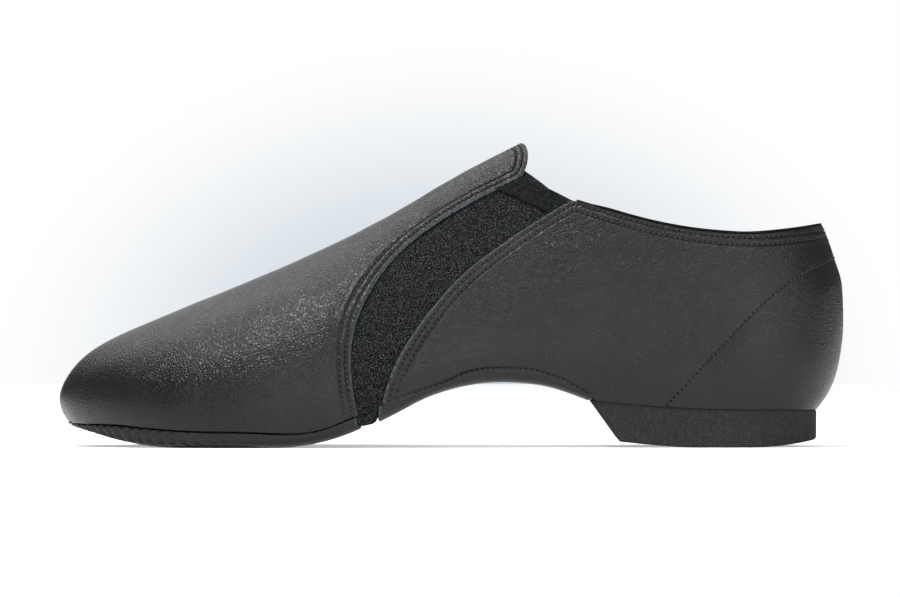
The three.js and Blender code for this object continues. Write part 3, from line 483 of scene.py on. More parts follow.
def stitches(name, row, sink=0.14, skip=0.4):
    """Single stitches of a lockstitch seam: short threads that dip into needle holes painted as dark shade.
    """
    count = int((row.length - 2 * skip) / STITCH)
    starts = (skip + STITCH * np.arange(count))[:, None]

    def frame_at(at):
        place, normal = (np.stack([np.interp(at, row.along, source[:, k]) for k in range(3)], -1)
                         for source in (row.points, row.normals))
        return place, unit(normal)

    # A stitch takes up most of its pitch and arches out of the leather between two holes.
    u = np.linspace(0, 1, RINGS)
    centre, normal = frame_at(starts + STITCH * (0.14 + 0.72 * u))
    lift = THREAD * (0.62 * np.sin(math.pi * u) ** 0.5 - 0.5) - sink + 0.06
    centre = centre + normal * lift[None, :, None]
    forward = unit(np.gradient(centre, axis=1))
    across = unit(np.cross(forward, normal))
    upward = np.cross(across, forward)
    thick = THREAD / 2 * (0.72 + 0.28 * np.sin(math.pi * u))
    turns = np.linspace(0, 2 * math.pi, RING_POINTS, endpoint=False)
    ring = (across[:, :, None] * np.cos(turns)[:, None] + upward[:, :, None] * np.sin(turns)[:, None])
    threads = (centre[:, :, None] + ring * thick[None, :, None, None]).reshape(-1, 3)
    size = RINGS * RING_POINTS
    step, section = np.arange(RINGS - 1)[:, None] * RING_POINTS, np.arange(RING_POINTS)
    first = np.arange(count)[:, None, None] * size
    a, b = first + step + section, first + step + (section + 1) % RING_POINTS
    faces = np.stack([a, b, b + RING_POINTS, a + RING_POINTS], -1).reshape(-1, 4).tolist()
    ends = list(range(RING_POINTS - 1, -1, -1)), list(range(size - RING_POINTS, size))
    for end in ends:
        faces += [[k * size + i for i in end] for k in range(count)]
    # Each needle hole is a flat dark lens that is longer along the row: painted shade where the thread goes
    # in.
    hole, normal = frame_at(starts)
    ahead, _ = frame_at(starts + STITCH * 0.1)
    forward = unit(ahead - hole)
    across = unit(np.cross(forward, normal))
    turns = np.linspace(0, 2 * math.pi, HOLE_POINTS, endpoint=False)[None, :, None]
    rim = hole + forward * np.cos(turns) * HOLE_LONG + across * np.sin(turns) * HOLE_WIDE
    lens = np.concatenate([rim - normal * (sink - 0.08), rim * 0.4 + hole * 0.6 - normal * (sink - 0.12),
                           rim - normal * (sink + 0.1)], 1).reshape(-1, 3)
    for first in range(len(threads), len(threads) + len(lens), 3 * HOLE_POINTS):
        edge, top, low = np.arange(first, first + 3 * HOLE_POINTS).reshape(3, -1).tolist()
        for i in range(HOLE_POINTS):
            j = (i + 1) % HOLE_POINTS
            faces.append([edge[i], edge[j], top[j], top[i]])
            faces.append([edge[j], edge[i], low[i], low[j]])
        faces += [top, low[::-1]]
    # Marks the lenses, whose near-black colour is painted shade in the needle holes.
    dark = np.concatenate([np.zeros(len(threads)), np.ones(len(lens))])
    return mesh_object(name, np.vstack([threads, lens]), faces, {"hole_painted_shade": dark})


def beside(points, side, distance):
    """A line on the last beside another; a distance above 0 lies towards the toe."""
    along = unit(np.gradient(points, axis=0))
    across = np.cross(unit(slope(points)), along)
    return settle(points - across * side * distance)


def smoothed(line, reach):
    """A line of points with its corners rounded over some points on each side; its ends stay."""
    bell = np.hanning(2 * reach + 1)
    padded = np.pad(line, ((reach, reach), (0, 0)), "edge")
    soft = np.column_stack([np.convolve(padded[:, k], bell / bell.sum(), "valid") for k in range(3)])
    soft[:reach], soft[-reach:] = line[:reach], line[-reach:]
    return soft


def vamp_line(distance):
    """A line at one distance inside the vamp's rear edge, from sole to sole round the tongue tab."""
    share = np.linspace(0, 1, 900)
    halves = []
    for side in (-1, 1):
        x, rho = REAR[side](share)
        halves.append(upper_point(rho, x - TOE_FAN, float(side)))
    edge = np.vstack([halves[0][::-1], halves[1][1:]])
    along = unit(np.gradient(edge, axis=0))
    inner = settle(edge + np.cross(unit(slope(edge)), along) * distance)
    tree = tree_of(edge)
    inner = inner[[k for k, point in enumerate(inner) if tree.find(point)[2] > distance - 0.06]]
    return smoothed(inner, 20)


def linear(hex_colour):
    """sRGB hex to linear red, green, blue and alpha."""
    parts = [int(hex_colour[i:i + 2], 16) / 255 for i in (1, 3, 5)]
    return [c / 12.92 if c <= 0.04045 else ((c + 0.055) / 1.055) ** 2.4 for c in parts] + [1.0]


def material(name):
    made = bpy.data.materials.new(name)
    made.use_nodes = True
    tree = made.node_tree
    tree.nodes.clear()
    return made, tree


def node(tree, kind, inputs=None, **settings):
    """Adds a node with its settings; an input is a number, a colour or another node's output."""
    made = tree.nodes.new(kind)
    for key, value in settings.items():
        setattr(made, key, value)
    for key, value in (inputs or {}).items():
        if isinstance(value, bpy.types.NodeSocket):
            tree.links.new(value, made.inputs[key])
        else:
            made.inputs[key].default_value = value
    return made


def per_mm(size):
    """A texture scale for details of one size in millimetres, on object coordinates in metres."""
    return 1000.0 / size


def calf_leather(name, dark, light, raw, grain=0.8, shine=0.33, bump=0.48):
    """Aniline-dyed smooth calf: a fine pebbled grain with tiny creases, a soft waxy gloss, and a
    paler blue-grey fibre where the edge is cut raw."""
    made, tree = material(name)
    where = node(tree, "ShaderNodeTexCoord").outputs["Object"]
    warp = node(tree, "ShaderNodeTexNoise", {"Vector": where, "Scale": per_mm(3.5), "Detail": 2.0})
    shift = node(tree, "ShaderNodeVectorMath", {0: warp.outputs["Color"], 1: (0.0005,) * 3},
                 operation="MULTIPLY")
    moved = node(tree, "ShaderNodeVectorMath", {0: where, 1: shift.outputs[0]})
    cells = node(tree, "ShaderNodeTexVoronoi", {"Vector": moved.outputs[0], "Scale": per_mm(grain)},
                 feature="DISTANCE_TO_EDGE")
    crease = node(tree, "ShaderNodeMapRange", {"Value": cells.outputs["Distance"], "From Max": 0.4},
                  interpolation_type="SMOOTHSTEP")
    fine = node(tree, "ShaderNodeTexNoise", {"Vector": where, "Scale": per_mm(0.75), "Detail": 2.0})
    height = node(tree, "ShaderNodeMath", {0: fine.outputs["Fac"], 1: 1.5, 2: crease.outputs[0]},
                  operation="MULTIPLY_ADD")
    patch = node(tree, "ShaderNodeTexNoise", {"Vector": where, "Scale": per_mm(26), "Detail": 4.0})
    tone = node(tree, "ShaderNodeMapRange",
                {"Value": patch.outputs["Fac"], "From Min": 0.3, "From Max": 0.7})
    speck = node(tree, "ShaderNodeMath", {0: height.outputs[0], 1: 0.3, 2: tone.outputs[0]},
                 operation="MULTIPLY_ADD")
    dye = node(tree, "ShaderNodeMix", {"Factor": speck.outputs[0], "A": linear(dark), "B": linear(light)},
               data_type="RGBA")
    edge = node(tree, "ShaderNodeAttribute", attribute_name="cut_edge").outputs["Fac"]
    fibre = node(tree, "ShaderNodeTexNoise", {"Vector": where, "Scale": per_mm(0.9), "Detail": 3.0})
    tuft = node(tree, "ShaderNodeMapRange",
                {"Value": fibre.outputs["Fac"], "From Min": 0.38, "From Max": 0.62, "To Min": 0.15})
    frayed = node(tree, "ShaderNodeMath", {0: edge, 1: tuft.outputs[0]}, operation="MULTIPLY")
    colour = node(tree, "ShaderNodeMix",
                  {"Factor": frayed.outputs[0], "A": dye.outputs["Result"], "B": linear(raw)},
                  data_type="RGBA")
    gloss = node(tree, "ShaderNodeMapRange",
                 {"Value": tone.outputs[0], "To Min": shine - 0.01, "To Max": shine + 0.02})
    dull = node(tree, "ShaderNodeMix", {"Factor": frayed.outputs[0], "A": gloss.outputs[0], "B": 0.95})
    relief = node(tree, "ShaderNodeBump",
                  {"Height": height.outputs[0], "Strength": bump, "Distance": 0.0002})
    shader = node(tree, "ShaderNodeBsdfPrincipled",
                  {"Base Color": colour.outputs["Result"], "Roughness": dull.outputs["Result"],
                   "Normal": relief.outputs[0], "IOR": 1.45, "Specular IOR Level": 0.29})
    node(tree, "ShaderNodeOutputMaterial", {"Surface": shader.outputs[0]})
    return made


def fit(thing, made, stands_for, body=None):
    """Gives a piece its material and slot, hides the node that it stands for, and puts it under its body, or
    else fixes its place in its mesh.
    """
    thing.data.materials.clear()
    thing.data.materials.append(made)
    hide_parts(stands_for)
    if body:
        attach(thing, body)
    else:
        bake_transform(thing)
    return thing


def bonded_thread(name, dark, light, hole_shade_colour):
    """Bonded polyester thread: a faint waxy gloss, and a twist almost too fine to see. The needle holes are
    drawn with it as painted shade, dead matt and nearly black."""
    made, tree = material(name)
    where = node(tree, "ShaderNodeTexCoord").outputs["Object"]
    twist = node(tree, "ShaderNodeTexNoise", {"Vector": where, "Scale": per_mm(0.3), "Detail": 2.0})
    relief = node(tree, "ShaderNodeBump",
                  {"Height": twist.outputs["Fac"], "Strength": 0.5, "Distance": 0.00004})
    dye = node(tree, "ShaderNodeMix",
               {"Factor": twist.outputs["Fac"], "A": linear(dark), "B": linear(light)}, data_type="RGBA")
    # The needle holes get a near-black, dead matt colour: painted shade.
    hole = node(tree, "ShaderNodeAttribute", attribute_name="hole_painted_shade").outputs["Fac"]
    colour = node(tree, "ShaderNodeMix",
                  {"Factor": hole, "A": dye.outputs["Result"], "B": linear(hole_shade_colour)}, data_type="RGBA")
    matt = node(tree, "ShaderNodeMapRange", {"Value": hole, "To Min": 0.6, "To Max": 1.0})
    shader = node(tree, "ShaderNodeBsdfPrincipled",
                  {"Base Color": colour.outputs["Result"], "Roughness": matt.outputs[0],
                   "Normal": relief.outputs[0], "Specular IOR Level": 0.35})
    node(tree, "ShaderNodeOutputMaterial", {"Surface": shader.outputs[0]})
    return made


black_calf = calf_leather("smooth_black_calf", "#0b0c0b", "#151615", "#4d565a")
# The last colour is the painted shade of the needle holes.
sewing_thread = bonded_thread("bonded_polyester_thread", "#141414", "#262626", "#020202")


def sew(name, row, stands_for, sink=0.14):
    """Sews one row of stitches; sink is how deep the leather lies there."""
    fit(stitches(name, row, sink), sewing_thread, stands_for)


vamp_rows = [Row(vamp_line(distance)) for distance in (ROW_NEAR, ROW_FAR)]
vamp_rim = Row(vamp_line(0.0))
FULLNESS, FULL_AT, FULL_WIDTH = 0.5, 9.5, 4.2  # how full, how far from the rear edge, and how wide
toe_rows = np.linspace(-1, 0, 100, endpoint=False)
surface = fore_part(np.linspace(-1, 1, 491), np.concatenate([toe_rows, densely(80, 26, 0.09)]))
normal = unit(slope(surface))
swell = 0.12 * waves(surface, 26, 3) + 0.05 * waves(surface, 11, 4)
# The two rows of stitches draw the edge in, and the leather stands a little full ahead of them, but not
# up on the tongue.
fullness = np.exp(-(((vamp_rim.nearest(surface, 18)[0] - FULL_AT) / FULL_WIDTH) ** 2))
swell = swell + FULLNESS * fullness * (1 - ramp(surface[..., 2], 55, 78))
swell = swell[..., None] * normal
drop, raw = raw_edge(surface, vamp_rim)
pull = (sewn(surface, vamp_rows) + drop)[..., None] * normal
vamp = sheet_mesh("vamp_leather", surface + swell - pull, surface + swell - normal * LEATHER, raw=raw)
fit(vamp, black_calf, "vamp")
sew("vamp_stitches_outer", vamp_rows[0], "vamp_thread_outer")
sew("vamp_stitches_inner", vamp_rows[1], "vamp_thread_inner")


# ---- Gores ----------------------------------------------------------------------------------------
# Knitted neoprene, 0.9 mm thick, sewn under the vamp and the quarters on both sides. The top edge is
# folded and sewn down as a ribbed hem 6 mm deep.

SIDES = (-1, "lateral"), (1, "medial")
CLEARANCE = 0.35
SECOND = LEATHER + CLEARANCE  # depth of the second layer under the outside of the leather
STRETCH = 0.9  # the neoprene
OVERLAP = 7.0  # how far the gore runs under the leather
HEM_OVERLAP, HEM_RIB, HEM_DEPTH = 0.5, 0.35, (0.6, 1.3)

QUARTER_TOE, QUARTER_CORNER = (-21.2, 14.2), (38.8, 79.2)
QUARTER_EDGE = route([QUARTER_TOE, (-19.4, 21.2), (-16.2, 28.8), (-6.1, 44), (2.8, 54.1), (14.2, 63.3),
                      (22.4, 69), QUARTER_CORNER])
HEM_SHARE = 0.91  # where the hem starts, along the gore's two long edges


def knitted_neoprene(name, dark, light, fleck=0.42, density=0.62):
    """Neoprene faced with a matt polyester knit: near black, with pale flecks painted in where loops catch
    light.
    """
    made, tree = material(name)
    where = node(tree, "ShaderNodeTexCoord").outputs["Object"]
    loops = node(tree, "ShaderNodeTexNoise",
                 {"Vector": where, "Scale": per_mm(fleck), "Detail": 2.0, "Roughness": 0.6})
    rows = node(tree, "ShaderNodeTexVoronoi", {"Vector": where, "Scale": per_mm(fleck * 1.6)})
    # The pale flecks are painted highlights, where the knit's loops catch light.
    painted_glints = node(tree, "ShaderNodeMapRange",
                  {"Value": loops.outputs["Fac"], "From Min": density - 0.12, "From Max": density + 0.12})
    colour = node(tree, "ShaderNodeMix",
                  {"Factor": painted_glints.outputs[0], "A": linear(dark), "B": linear(light)}, data_type="RGBA")
    height = node(tree, "ShaderNodeMath", {0: loops.outputs["Fac"], 1: rows.outputs["Distance"]})
    relief = node(tree, "ShaderNodeBump",
                  {"Height": height.outputs[0], "Strength": 0.9, "Distance": 0.0002})
    shader = node(tree, "ShaderNodeBsdfPrincipled",
                  {"Base Color": colour.outputs["Result"], "Roughness": 0.95, "Normal": relief.outputs[0],
                   "Specular IOR Level": 0.1})
    node(tree, "ShaderNodeOutputMaterial", {"Surface": shader.outputs[0]})
    return made


# The lighter colour of each knit is its painted highlights on the loops.
neoprene = knitted_neoprene("knitted_neoprene", "#020202", "#4c4f50", fleck=0.36, density=0.61)
hem_cloth = knitted_neoprene("folded_neoprene_hem", "#0b0c0c", "#34383a", fleck=0.35)


def layer(name, surface, over, under, edge=0.25):
    """A sheet that lies between two depths under the outside of the leather."""
    normal = unit(slope(surface))
    return sheet_mesh(name, surface - normal * over, surface - normal * under, edge)


def between_edges(side, share, overlap, columns=60):
    """Points from the vamp's edge to the quarter's, with some overlap beyond both."""
    ahead = beside(skin(*VAMP_EDGE(share), side), side, overlap)
    behind = beside(skin(*QUARTER_EDGE(share), side), side, -overlap)
    return settle(mix(ahead[:, None], behind[:, None], np.linspace(0, 1, columns)[None, :, None]))


ribs = HEM_RIB * np.abs(np.sin(np.linspace(0, 4 * math.pi, 60)))[:, None, None]
for side, side_name in SIDES:
    surface = between_edges(side, np.linspace(-0.02, 1.0, 150), OVERLAP)
    gore = layer(f"gore_{side_name}_neoprene", surface, SECOND, SECOND + STRETCH, edge=0.3)
    fit(gore, neoprene, f"gore_{side_name}")
    surface = between_edges(side, np.linspace(HEM_SHARE, 1.0, 60), HEM_OVERLAP)
    hem = layer(f"gore_{side_name}_hem", surface, HEM_DEPTH[0] - ribs, HEM_DEPTH[1])
    fit(hem, hem_cloth, f"gore_hem_{side_name}")


# ---- Quarters -------------------------------------------------------------------------------------
# Two pieces of the same leather, joined at the back seam. Two rows of stitches run down the front edge
# and on along the topline; a single diagonal row holds the heel counter inside.

HEM = curve([(-24.5, 12.5), (-13.1, 16.5), (-0.4, 20.9), (4.7, 23.1), (11, 24.5), (18.6, 24.8),
             (24.9, 24.4), (31.3, 22.9), (37.6, 20.3), (43.3, 17.1), (46.8, 15)])
SEAT_FRONT, SEAT_REAR = 45.5, 117  # the part of the lower edge that lies on the heel seat
SEAT = curve([(44.5, 15), (68.6, 13), (SEAT_REAR, 12)])
TOPLINE = curve([QUARTER_CORNER, (48.2, 76.3), (61, 72.6), (73.8, 69.9), (88, 68.3), (101.7, 68.1),
                 (110.2, 68.6), (120.4, 69.4), (137, 70.5), (146.1, 70.7)])
COUNTER_FRONT = 66
COUNTER = curve([(68.6, 13.2), (78.1, 23.3), (88.7, 34.7), (94.9, 40.2), (101.2, 45.4), (109.7, 51.3),
                 (119.9, 56), (133.6, 59.2), (147, 60.6)])
BACK_MIDDLE = HEEL_TURN + HEEL_RADIUS * math.pi / 2
BACK_SEAM = HEEL_TURN + HEEL_RADIUS * (math.pi / 2 - 0.004)


def seat(a):
    """The heel seat, level once it is round the back."""
    return SEAT(np.minimum(a, SEAT_REAR))


def lower_edge(a):
    """The quarter's lower edge: its turned hem over the arch, and then the heel seat."""
    return np.where(a < SEAT_FRONT, HEM(a), seat(a))


def coons(bottom, top, front, back):
    """A patch of (a, z) points between four border lines, each an array of (a, z)."""
    u = np.linspace(0, 1, len(bottom))[None, :, None]
    v = np.linspace(0, 1, len(front))[:, None, None]
    corners = mix(mix(bottom[0], bottom[-1], u), mix(top[0], top[-1], u), v)
    return mix(bottom[None], top[None], v) + mix(front[:, None], back[:, None], u) - corners


def spread(line, steps):
    """Resamples a line of points at these shares of its index."""
    index = np.linspace(0, 1, len(line))
    return np.column_stack([np.interp(steps, index, line[:, k]) for k in range(line.shape[1])])


def quarter_line(side, distance, below):
    """A line behind a quarter's front edge and below its topline, from the arch to the back seam."""
    rise = beside(skin(*QUARTER_EDGE(np.linspace(0.03, 1, 500)), side), side, -distance)
    a = np.linspace(30, BACK_SEAM, 700)
    round_top = skin(a, TOPLINE(a) - below, side)
    gap = np.linalg.norm(rise[:, None, ::2] - round_top[None, :, ::2], axis=-1)
    i, j = np.unravel_index(np.argmin(gap[-200:, :200]), (200, 200))
    return smoothed(np.vstack([rise[:300 + i], round_top[j + 1:]]), 12)


def both_sides(line_of):
    """Joins a line on the lateral side to its twin on the medial side, round the back of the heel."""
    return np.vstack([line_of(-1), line_of(1)[::-1]])


TOP_ROW_NEAR, TOP_ROW_FAR = 1.2, 3.5  # below the topline
quarter_rows = [Row(both_sides(lambda side: quarter_line(side, distance, below)))
                for distance, below in ((ROW_NEAR, TOP_ROW_NEAR), (ROW_FAR - 0.2, TOP_ROW_FAR))]
# The counter's row starts just above the heel block, and the arch's row runs from the gore to the block.
counter_span = np.linspace(68.7, BACK_SEAM, 500)
counter_row = Row(both_sides(lambda side: skin(counter_span, COUNTER(counter_span), side)))
arch_span = np.linspace(-19.5, 46, 300)
arch_rows = {side: Row(skin(arch_span, lower_edge(arch_span) + 0.55, side)) for side in (-1, 1)}


def leather_swell(p):
    """Slight unevenness of leather that lies over a foot form."""
    return 0.1 * waves(p, 30, 5) + 0.06 * waves(p, 12, 6)


# Shares across a quarter, with more lines near its front edge, and up it, with more near both ends.
across_steps = 1 - densely(190, 30, 0.06)[::-1]
up_steps = np.concatenate([0.04 * (1 - densely(8, 6, 0.3)[::-1]), densely(90, 24, 0.1)[1:] * 0.96 + 0.04])
long = np.linspace(0, 1, 900)
for side, side_name in SIDES:
    a_low, a_high = mix(QUARTER_TOE[0], BACK_SEAM, long), mix(QUARTER_CORNER[0], BACK_SEAM, long)
    bottom = np.column_stack([a_low, lower_edge(a_low) + 0.12 * ramp(a_low, 43, 46)])
    top = np.column_stack([a_high, TOPLINE(a_high)])
    front = np.column_stack(QUARTER_EDGE(mix(-0.006, 1, long)))
    back = np.column_stack([np.full(len(long), BACK_SEAM),
                            mix(lower_edge(BACK_SEAM), TOPLINE(BACK_SEAM), long)])
    bottom[:, 1] += (front[0, 1] - bottom[0, 1]) * (1 - ramp(long, 0, 0.04))
    patch = coons(*(spread(line, across_steps) for line in (bottom, top)),
                  *(spread(line, up_steps) for line in (front, back)))
    # The corner of the front edge and the topline is cut a little round.
    corner = np.hypot(patch[..., 0] - QUARTER_CORNER[0], patch[..., 1] - QUARTER_CORNER[1])
    patch[..., 1] -= 0.5 * np.exp(-((corner / 2.2) ** 2))
    surface = skin(patch[..., 0], patch[..., 1], side)
    normal = unit(slope(surface))
    # The moulded counter makes the heel fuller, and the stitches hold the leather down on it.
    below = np.maximum(COUNTER(patch[..., 0]) - patch[..., 1], 0) * (patch[..., 0] > COUNTER_FRONT)
    fullness = 0.7 * ramp(below, 0, 9) * ramp(patch[..., 1], 14, 28)
    held_down = ramp(counter_row.nearest(surface, 6)[0], 0.6, 5)
    swell = (held_down * leather_swell(surface) + fullness)[..., None] * normal
    drop, raw = raw_edge(surface, Row(skin(*front.T, side)))
    pull = sewn(surface, quarter_rows) + sewn(surface, [counter_row, arch_rows[side]], 0.22) + drop
    quarter = sheet_mesh(f"quarter_{side_name}_leather", surface + swell - pull[..., None] * normal,
                         surface + swell - normal * LEATHER, edge=(0.01, 0.25, 0.25, 0.25), raw=raw)
    fit(quarter, black_calf, f"quarter_{side_name}")

sew("quarter_stitches_outer", quarter_rows[0], "quarter_thread_outer")
sew("quarter_stitches_inner", quarter_rows[1], "quarter_thread_inner")
sew("counter_stitches", counter_row, "counter_thread")
for side, side_name in SIDES:
    sew(f"arch_stitches_{side_name}", arch_rows[side], f"arch_thread_{side_name}")


# ---- Topline binding ------------------------------------------------------------------------------
# A narrow dark tape folded over the top of the leather and its lining, so that no raw edge rubs the
# ankle. It shows as a thin black line above the stitches.

BINDING_START = 40.5
BINDING_DEPTH = SECOND + 0.7


def round_heel(start, low, high, across, up):
    """Points from one side round the back of the heel to the other, between two heights."""
    s, t = np.meshgrid(np.linspace(-1, 1, across), np.linspace(0, 1, up))
    a = mix(BACK_MIDDLE, start, np.abs(s))
    return skin(a, mix(low(a), high(a), t), side_of(s))


surface = round_heel(BINDING_START, lambda a: TOPLINE(a) - 0.1,
                     lambda a: TOPLINE(a) + 0.9 * ramp(a, 39, 52), 420, 8)
binding = layer("topline_tape", surface, 0.1, BINDING_DEPTH, edge=0.42)
fit(binding, hem_cloth, "topline_binding")


# ---- Linings --------------------------------------------------------------------------------------
# Brushed cotton drill behind the leather, a leather facing behind the tongue tab, a moulded counter
# between quarter and lining round the heel, and a suede grip on the inside of the heel.

LINING = 0.7
FACING, FACING_SPAN = 0.7, (6.0, 21.5)  # the span is along the ridge, below the tab's end
COUNTER_BOARD = 0.9
THIRD = SECOND + COUNTER_BOARD + CLEARANCE  # depth of the third layer


def cotton_drill(name, dark, light, wale=0.9):
    """Cotton drill: diagonal twill wales and a soft brushed nap."""
    made, tree = material(name)
    where = node(tree, "ShaderNodeTexCoord").outputs["Object"]
    twill = node(tree, "ShaderNodeTexWave",
                 {"Vector": where, "Scale": per_mm(wale * 20), "Distortion": 0.6},
                 bands_direction="DIAGONAL")
    nap = node(tree, "ShaderNodeTexNoise", {"Vector": where, "Scale": per_mm(0.4), "Detail": 3.0})
    height = node(tree, "ShaderNodeMath", {0: twill.outputs["Fac"], 1: nap.outputs["Fac"]})
    colour = node(tree, "ShaderNodeMix",
                  {"Factor": nap.outputs["Fac"], "A": linear(dark), "B": linear(light)}, data_type="RGBA")
    relief = node(tree, "ShaderNodeBump",
                  {"Height": height.outputs[0], "Strength": 0.6, "Distance": 0.00015})
    shader = node(tree, "ShaderNodeBsdfPrincipled",
                  {"Base Color": colour.outputs["Result"], "Roughness": 0.95, "Normal": relief.outputs[0],
                   "Sheen Weight": 0.2, "Sheen Roughness": 0.6})
    node(tree, "ShaderNodeOutputMaterial", {"Surface": shader.outputs[0]})
    return made


drill = cotton_drill("brushed_cotton_drill", "#242427", "#3a3a3e")


def lining_sheet(name, stands_for, surface, depth, thickness, made):
    """A sheet inside the shoe, at a depth under the outside of the leather."""
    return fit(layer(name, surface, depth, depth + thickness, edge=0.2), made, stands_for)


def lining_pull(share):
    """How far the vamp's lining stops short of its rear edge: well below the tongue, and at the gores."""
    return mix(30.0, OVERLAP + 4, ramp(share * 1.1, 0, 1))


rows = np.concatenate([np.linspace(-1, 0, 40, endpoint=False), np.linspace(0, 1, 60)])
surface = fore_part(np.linspace(-0.985, 0.985, 120), rows, lining_pull)
lining = lining_sheet("vamp_cotton_lining", "vamp_lining", surface, SECOND + 0.02, LINING,
                      drill)

s, t = np.meshgrid(np.linspace(-1, 1, 60), np.linspace(0, 1, 40))
edge_angle = np.where(s < 0, *(angle_of(skin(*VAMP_EDGE(1.0), side)) for side in (-1, 1)))
surface = ray_hit(mix(*FACING_SPAN, t) - TOE_FAN, side_of(s),
                  mix(math.pi / 2, edge_angle, 0.85 * np.abs(s)))
lining_sheet("tongue_leather_facing", "tongue_facing", surface, THIRD, FACING, black_calf)

for side, side_name in SIDES:
    front = beside(skin(*QUARTER_EDGE(np.linspace(0.08, 0.96, 80)), side), side, -(OVERLAP + 2.2))[:, ::2]
    a_low, a_high = (np.linspace(front[k, 0], BACK_SEAM, 120) for k in (0, -1))
    low_line = np.maximum(lower_edge(a_low) + 1, np.where(a_low > COUNTER_FRONT, COUNTER(a_low) + 2.2, 0))
    bottom = np.column_stack([a_low, low_line])
    top = np.column_stack([a_high, TOPLINE(a_high) - 0.3])
    fade = 1 - ramp(np.linspace(0, 1, 120), 0, 0.15)
    bottom[:, 1] += fade * (front[0, 1] - bottom[0, 1])
    top[:, 1] += fade * (front[-1, 1] - top[0, 1])
    back = np.column_stack([np.full(80, BACK_SEAM), np.linspace(bottom[-1, 1], top[-1, 1], 80)])
    patch = coons(bottom, top, front, back)
    lining = lining_sheet(f"quarter_{side_name}_cotton_lining", f"quarter_lining_{side_name}",
                          skin(patch[..., 0], patch[..., 1], side), SECOND, LINING, drill)


def nubuck(name, dark, light, nap=0.5):
    """Split suede: a short dense nap, dead matt, with cloudy lighter brush marks."""
    made, tree = material(name)
    where = node(tree, "ShaderNodeTexCoord").outputs["Object"]
    hairs = node(tree, "ShaderNodeTexNoise", {"Vector": where, "Scale": per_mm(nap), "Detail": 4.0})
    cloud = node(tree, "ShaderNodeTexNoise", {"Vector": where, "Scale": per_mm(9), "Detail": 3.0})
    tone = node(tree, "ShaderNodeMath", {0: hairs.outputs["Fac"], 1: cloud.outputs["Fac"]},
                operation="MULTIPLY")
    tone = node(tree, "ShaderNodeMapRange", {"Value": tone.outputs[0], "From Min": 0.12, "From Max": 0.4})
    colour = node(tree, "ShaderNodeMix",
                  {"Factor": tone.outputs[0], "A": linear(dark), "B": linear(light)}, data_type="RGBA")
    relief = node(tree, "ShaderNodeBump",
                  {"Height": hairs.outputs["Fac"], "Strength": 0.7, "Distance": 0.0002})
    shader = node(tree, "ShaderNodeBsdfPrincipled",
                  {"Base Color": colour.outputs["Result"], "Roughness": 1.0, "Normal": relief.outputs[0],
                   "Sheen Weight": 0.25, "Sheen Roughness": 0.4})
    node(tree, "ShaderNodeOutputMaterial", {"Surface": shader.outputs[0]})
    return made


sole_suede = nubuck("black_split_suede", "#161616", "#3b3a38")
GRIP_FRONT, BOARD_FRONT = 67.5, 71
surface = round_heel(GRIP_FRONT, lambda a: seat(a) + 1.2,
                     lambda a: mix(COUNTER(a) + 4.5, TOPLINE(a) - 2, ramp(a, 88, 112)), 200, 50)
lining_sheet("heel_suede_grip", "heel_grip", surface, THIRD, FACING, sole_suede)


def bonded_board(name, dark, light):
    """Bonded leather board: tan fibres pressed flat, with short darker strands."""
    made, tree = material(name)
    where = node(tree, "ShaderNodeTexCoord").outputs["Object"]
    strands = node(tree, "ShaderNodeTexNoise",
                   {"Vector": where, "Scale": per_mm(1.4), "Detail": 6.0, "Distortion": 1.2})
    colour = node(tree, "ShaderNodeMix",
                  {"Factor": strands.outputs["Fac"], "A": linear(dark), "B": linear(light)},
                  data_type="RGBA")
    relief = node(tree, "ShaderNodeBump",
                  {"Height": strands.outputs["Fac"], "Strength": 0.4, "Distance": 0.0001})
    shader = node(tree, "ShaderNodeBsdfPrincipled",
                  {"Base Color": colour.outputs["Result"], "Roughness": 0.85, "Normal": relief.outputs[0]})
    node(tree, "ShaderNodeOutputMaterial", {"Surface": shader.outputs[0]})
    return made


board = bonded_board("bonded_leather_board", "#5a452f", "#94795a")
surface = round_heel(BOARD_FRONT, lambda a: seat(a) + 0.8, COUNTER, 160, 40)
lining_sheet("moulded_heel_counter", "heel_counter", surface, SECOND, COUNTER_BOARD, board)


# ---- Forefoot sole --------------------------------------------------------------------------------
# A thin leather wrap is pleated round the toe and drawn under the forefoot; a suede outsole patch is
# cemented below it, and an insole board and a foam sock lie inside.

OUTSOLE = 1.5
OUTSOLE_SPAN = (-104.0, -46.0)
OUTSOLE_MARGIN, OUTSOLE_ROUND = 5.0, 2.6
PLEAT = 5.2  # from one pleat to the next
WRAP_CORNER = 6.0
WRAP_REAR = (-28.2, -29.7)  # in the middle and at the rim


def sole_line(x):
    """How high the sole is above the floor: it springs up at the toe and at the waist."""
    toe = 7.3 * (np.maximum(-84 - x, 0) / 37.5) ** 2.3
    return toe + 6 * (np.maximum(x + 54, 0) / 26) ** 2


def outsole_half(x, side):
    """Half the outsole's width at its widest, which keeps a margin from the sole seam."""
    return half_width(x, FEATHER(x), side) - OUTSOLE_MARGIN


def outsole_recess(x, y):
    """How far the wrap is pressed up where the outsole is let into it; 0.15 outside the outsole."""
    across = (y - middle(x)) / np.maximum(outsole_half(x, side_of(y - middle(x))), 1)
    along = 2 * (x - OUTSOLE_SPAN[0]) / (OUTSOLE_SPAN[1] - OUTSOLE_SPAN[0]) - 1
    share = (np.abs(across) ** OUTSOLE_ROUND + np.abs(along) ** OUTSOLE_ROUND) ** (1 / OUTSOLE_ROUND)
    return mix(OUTSOLE + CLEARANCE, 0.15, ramp(share, 1.0, 1.07))


def spokes(girth, side, height, angle):
    """Level spokes from the middle of the sole to a rim drawn at height(x) on the last."""
    x = TOE_FAN + np.maximum(girth, 0)
    straight = flank(x, height(x), side)
    rim = np.where((girth < 0)[..., None], ray_hit(girth, side, angle(girth, side)), straight)
    hub = np.stack([x, middle(x)], -1)
    return hub, rim, rim[..., :2] - hub


